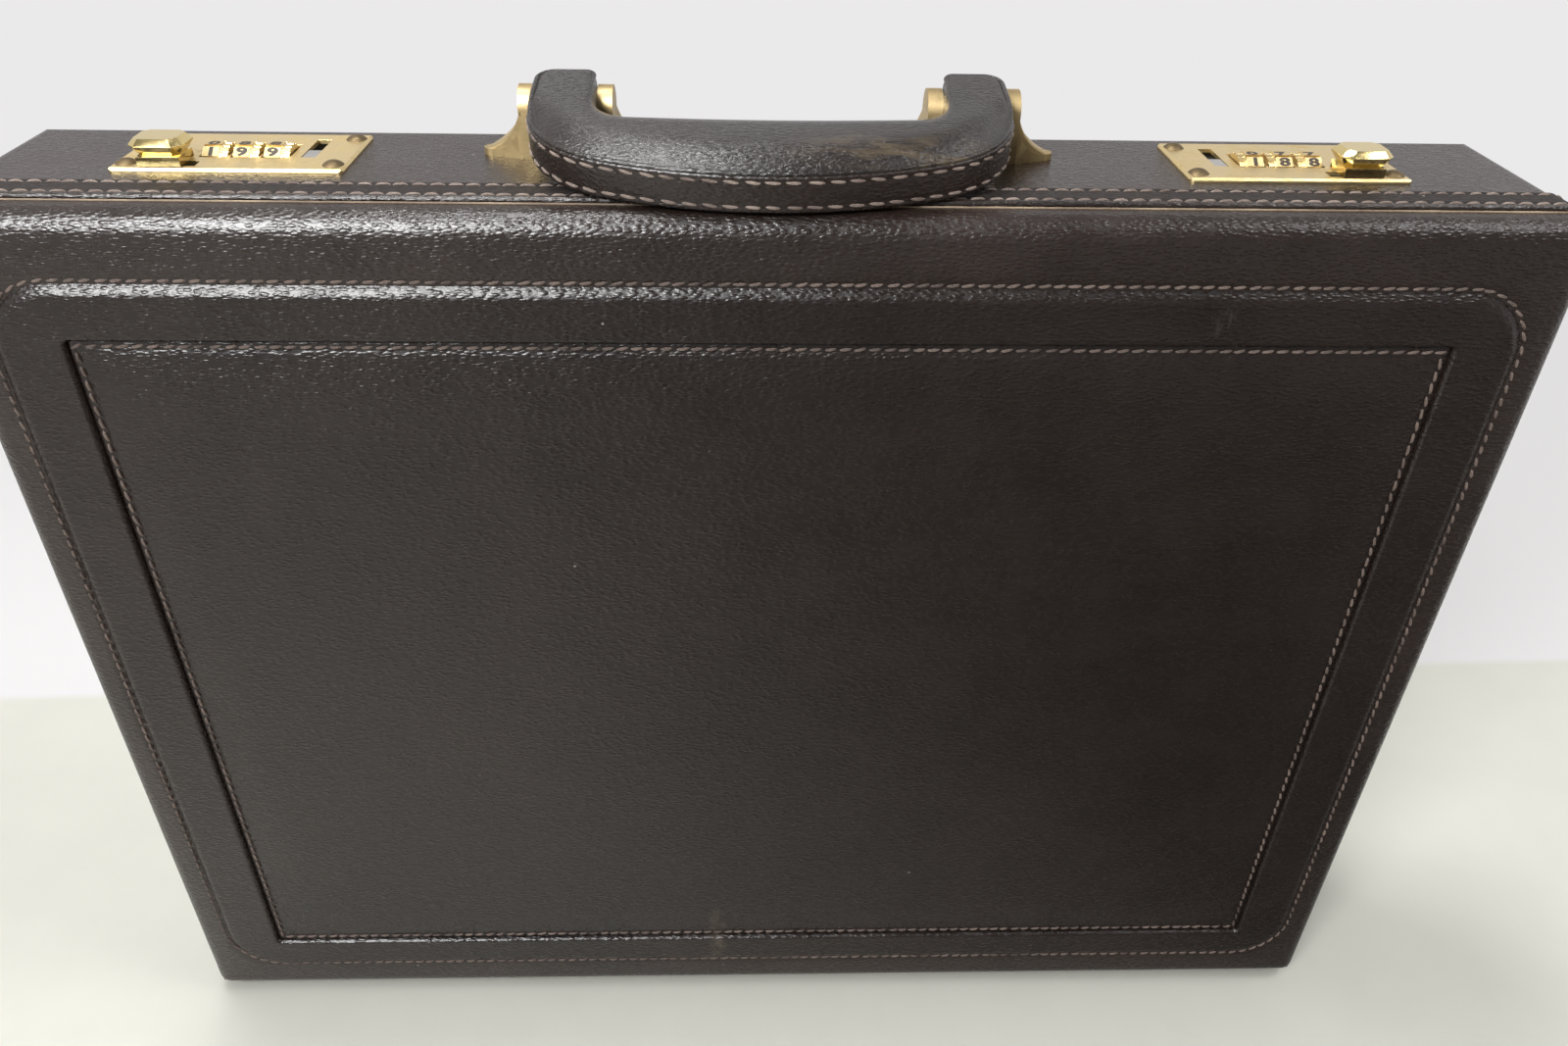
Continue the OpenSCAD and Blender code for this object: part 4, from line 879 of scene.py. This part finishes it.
def softened(node, width, material, body):
    """Copy of a metal part with narrow bevels on its edges"""
    work = bmesh.new()
    work.from_mesh(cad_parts[node].data)
    bmesh.ops.remove_doubles(work, verts=work.verts, dist=1e-6)
    bmesh.ops.dissolve_limit(work, angle_limit=np.radians(1), verts=work.verts, edges=work.edges)
    mesh = bpy.data.meshes.new(node + "_finished")
    work.to_mesh(mesh)
    work.free()
    sharp = 32
    piece = smooth_object(node + "_finished", mesh, material, sharp)
    bevel = piece.modifiers.new("Edges", "BEVEL")
    bevel.width = width * MM
    bevel.segments = 2
    bevel.limit_method = "ANGLE"
    bevel.angle_limit = np.radians(sharp)
    bevel.harden_normals = True
    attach(piece, body)
    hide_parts(node)


def bracket_flares():
    """Concave flanks that sweep from high on the fork's ears to the pointed feet. The height over the
    outward distance is a quadratic curve by three control points; the half width narrows straight to a
    round tip. Each section is a rectangle with its upper corners rounded by quarter circles."""
    tip_r, corner_r, count = 2.2, 0.9, 25
    start, middle, end = np.array([[-0.6, 15.2], [1.6, 5.2], [FLARE, 1.5]])
    part = np.linspace(0, 1, count)[:, None]
    outward, height = ((1 - part) ** 2 * start + 2 * part * (1 - part) * middle + part ** 2 * end).T
    left = np.clip((FLARE + 0.01 - outward) / tip_r, 0, 1)
    half = EAR_HALF + (tip_r - EAR_HALF) * np.clip(outward / (FLARE - tip_r), 0, 1)
    half = half * np.sqrt(1 - (1 - left) ** 2)
    corner = np.minimum(corner_r, 0.6 * np.minimum(half, height))
    turn = np.radians(np.linspace(0, 90, 7))
    across = [half, half] + [half - corner * (1 - np.cos(angle)) for angle in turn]
    up = [np.zeros(count), np.full(count, 0.4)] + [height - corner * (1 - np.sin(angle)) for angle in turn]
    across = np.stack(across + [-offset for offset in across[::-1]], axis=1)
    up = np.stack(up + up[::-1], axis=1)
    for side, sign in (("left", -1), ("right", 1)):
        for number, way in enumerate((sign, -sign), 1):
            x = sign * BRACKET_X + way * (EAR_FACE + np.broadcast_to(outward[:, None], across.shape))
            flare = skin(np.stack([x, PIN_Y + across, HIGH + up], axis=-1))
            make_piece("bracket_flare_%s_%d" % (side, number), *flare, ANTIQUE, "base", "aged_brass")


def digit_shapes():
    """Flat outlines of the digits 0 to 9, wide and low, centred, in millimetres"""
    widened = 1.6
    shapes = []
    for digit in range(10):
        curve = bpy.data.curves.new("digit", "FONT")
        curve.body = str(digit)
        curve.size = 4
        curve.offset = 0.16
        curve.extrude = 0.05
        curve.resolution_u = 3
        holder = bpy.data.objects.new("digit", curve)
        mesh = bpy.data.meshes.new_from_object(holder)
        points = np.array([tuple(vertex.co) for vertex in mesh.vertices])
        points[:, :2] -= (points[:, :2].max(axis=0) + points[:, :2].min(axis=0)) / 2
        points[:, 0] *= widened
        shapes.append((points, [list(face.vertices) for face in mesh.polygons]))
        bpy.data.objects.remove(holder)
    return shapes


def dial_digits():
    """Digits on the flats of each dial, turned about its axis so that the shown one leans to the front"""
    shapes = digit_shapes()
    for side, sign in (("left", -1), ("right", 1)):
        for number in range(3):
            centre = np.array([sign * (LOCK_X + DIAL_U - number * DIAL_PITCH), LOCK_Y, DIAL_Z])
            shown = SHOWN[side][number if side == "left" else 2 - number]
            points, faces = [], []
            for digit, (shape, shape_faces) in enumerate(shapes):
                angle = 2 * np.pi / DIAL_FLATS * (digit - shown + 1)
                out = shape[:, 2] + DIAL_FLAT + 0.02
                y = shape[:, 1] * np.cos(angle) - out * np.sin(angle)
                z = shape[:, 1] * np.sin(angle) + out * np.cos(angle)
                first = sum(len(group) for group in points)
                points.append(np.stack([shape[:, 0], y, z], axis=1) + centre)
                faces += [[first + k for k in face] for face in shape_faces]
            dial = "dial_%s_%d" % (side, number + 1)
            points = np.concatenate(points)
            make_piece(dial + "_digits", points, faces, INK, dial + "_body", "polished_brass")


def folio_stitching():
    """Sewn rows round the folio and along the edges of its pocket, which is open at the top"""
    margin = 3
    pocket_top = FOLIO_LOW + POCKET_H
    depth = LINING_Y + SHEET + 0.02
    sizes = (FOLIO_HALF - margin, FOLIO_LOW + margin)
    finish = (TO_BACK, FOLIO_STITCH, THREAD, "lid", "folio_leather", 0.05)
    row = upright(rounded_frame(*sizes, FOLIO_HIGH - margin, margin, 100, 80, 6)[0], depth)
    stitch_row("folio_stitches", row, *finish, 61)
    row = upright(rounded_frame(*sizes, pocket_top - 4, margin, 100, 60, 6)[0], depth + SHEET)
    row = row[kept_order(row[:, 2] < pocket_top - 8)]
    stitch_row("pocket_stitches", row, *finish, 62, False)


def dress_fittings():
    """Give every part that keeps its own shape its finish, by the start of its name"""
    finishes = (
        (COVER, ("base_cover",)),
        (WOOD, ("base_frame", "base_back_panel", "lid_frame", "lid_panel")),
        (LINING, ("base_lining", "lid_lining")),
        (FOLIO, ("folio_back", "folio_pocket", "card_pockets")),
        (STEEL, ("mouth_tongue", "hinge_pin", "keeper_", "lock_case_", "dial_shaft_", "latch_bolt_",
                 "reset_slide_")),
        (RIVET_BROWN, ("lock_rivets", "foot_studs")),
        (ANTIQUE, ("handle_pins", "bracket_rivets", "lid_rivets", "hinge_leaf_", "stay_")),
        (GOLD, ("dial_left", "dial_right")),
    )
    for name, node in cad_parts.items():
        for material, starts in finishes:
            if name.startswith(starts):
                node.data.materials.clear()
                node.data.materials.append(material)
                break
    for side in ("left", "right"):
        softened("lock_plate_" + side, 0.15, GOLD, "base")
        softened("latch_button_" + side, 0.35, BUTTON_GOLD, "latch_" + side)
        softened("handle_bracket_" + side, 0.5, ANTIQUE, "base")


# Table, surroundings, light and camera

def lay_table():
    """Pale table that glows in the wall's colour where it is far off or behind the case, for the rays that
    see it. Its reflections darken towards the right, as those of a dark room do."""
    mesh = bpy.data.meshes.new("floor")
    mesh.from_pydata([(-4, -3, 0), (4, -3, 0), (4, 6, 0), (-4, 6, 0)], [], [(0, 1, 2, 3)])
    paint = Paint("pale_table")
    across, along = paint.place.part(0), paint.place.part(1)
    back = along - 0.03 * across
    tone = paint.mix(paint.noise(30, 4), (0.72, 0.715, 0.65), (0.78, 0.775, 0.705))
    tone = paint.mix(paint.fade(back, 0.152, 0.157), tone, WALL)
    dim = paint.fade(across - 0.5 * along, -0.03, 0.26, 0, 0.85) * paint.fade(along, -0.06, 0, 1, 0)
    tone = paint.mix(dim * paint.rays("Is Glossy Ray"), tone, (0.0, 0.0, 0.0))
    paint.finish(tone, 0.5, Specular_IOR_Level=0.2)
    round_about = paint.fade((across * across + along * along).power(0.5), 0.7, 1.6)
    far = paint.fade(back, 0.3, 0.9).at_least(round_about) * paint.rays(*SHOWN_TO)
    glow = paint.node("ShaderNodeEmission", {"Color": (*WALL, 1), "Strength": 1})
    matt = Value(paint, paint.shader.outputs["BSDF"])
    paint.surface(paint.node("ShaderNodeMixShader", [far, matt, glow]))
    mesh.materials.append(paint.material)
    table = bpy.data.objects.new("floor", mesh)
    bpy.context.scene.collection.objects.link(table)


def paint_room():
    """Pale walls for the rays that see them, dimmer overhead and towards the viewer's side except to the
    camera. Everything else is lit by a low even world."""
    room = Paint("pale_room", world=True)
    room.shader.inputs["Color"].default_value = (1, 0.99, 0.97, 1)
    room.shader.inputs["Strength"].default_value = 0.35
    behind_viewer = room.fade(room.place.part(1), -0.7, 0.1, 0.25, 1)
    overhead = room.fade(room.place.part(2), 0.5, 0.9, 1, 0.3)
    level = (behind_viewer * overhead).at_least(room.rays("Is Camera Ray"))
    walls = room.node("ShaderNodeBackground", {"Color": (*WALL, 1), "Strength": level})
    low_light = Value(room, room.shader.outputs["Background"])
    room.surface(room.node("ShaderNodeMixShader", [room.rays(*SHOWN_TO), low_light, walls]))
    bpy.context.scene.world = room.material


def hang_lamps():
    """Soft lamps that face the case, by energy, width, height, place and whether they light matt surfaces.
    The window's sheen only shows mirrored in glossy ones."""
    window = (0.4, 0.65, (-0.66, -0.95, 1.25))
    lamps = {"window_left": (13, *window, True),
             "window_sheen": (75, *window, False),
             "ceiling": (12, 0.4, 0.3, (-0.3, 0.2, 1.7), True),
             "fill_right": (6, 0.5, 0.4, (0.9, -0.2, 1.5), True)}
    for name, (energy, width, height, place, diffuse) in lamps.items():
        lamp = bpy.data.lights.new(name, "AREA")
        lamp.energy = energy
        lamp.shape = "RECTANGLE"
        lamp.size = width
        lamp.size_y = height
        holder = bpy.data.objects.new(name, lamp)
        holder.location = place
        holder.visible_diffuse = diffuse
        away = Vector(place) - Vector((0, 0, 0.25))
        holder.rotation_euler = away.to_track_quat("Z", "Y").to_euler()
        bpy.context.scene.collection.objects.link(holder)


def set_camera():
    """Camera at the photograph's viewpoint, and plain colours"""
    lens = bpy.data.cameras.new("view")
    lens.sensor_width = 36
    lens.lens = 27
    camera = bpy.data.objects.new("view", lens)
    yaw, pitch, roll = np.radians(VIEW_TURNS)
    turn = Matrix.Rotation(yaw, 4, "Z") @ Matrix.Rotation(pitch, 4, "X") @ Matrix.Rotation(roll, 4, "Y")
    look_level = Matrix.Rotation(np.pi / 2, 4, "X")
    camera.matrix_world = Matrix.Translation(VIEWPOINT) @ turn @ look_level
    bpy.context.scene.collection.objects.link(camera)
    bpy.context.scene.camera = camera
    bpy.context.scene.view_settings.view_transform = "Standard"


dress_fittings()
lid_leather()
lid_lip()
band_cushion()
centre_cushion()
lid_stitching()
valance()
piping()
handle_pad()
handle_strip()
handle_ridges()
bracket_flares()
dial_digits()
folio_stitching()
lay_table()
paint_room()
hang_lamps()
set_camera()
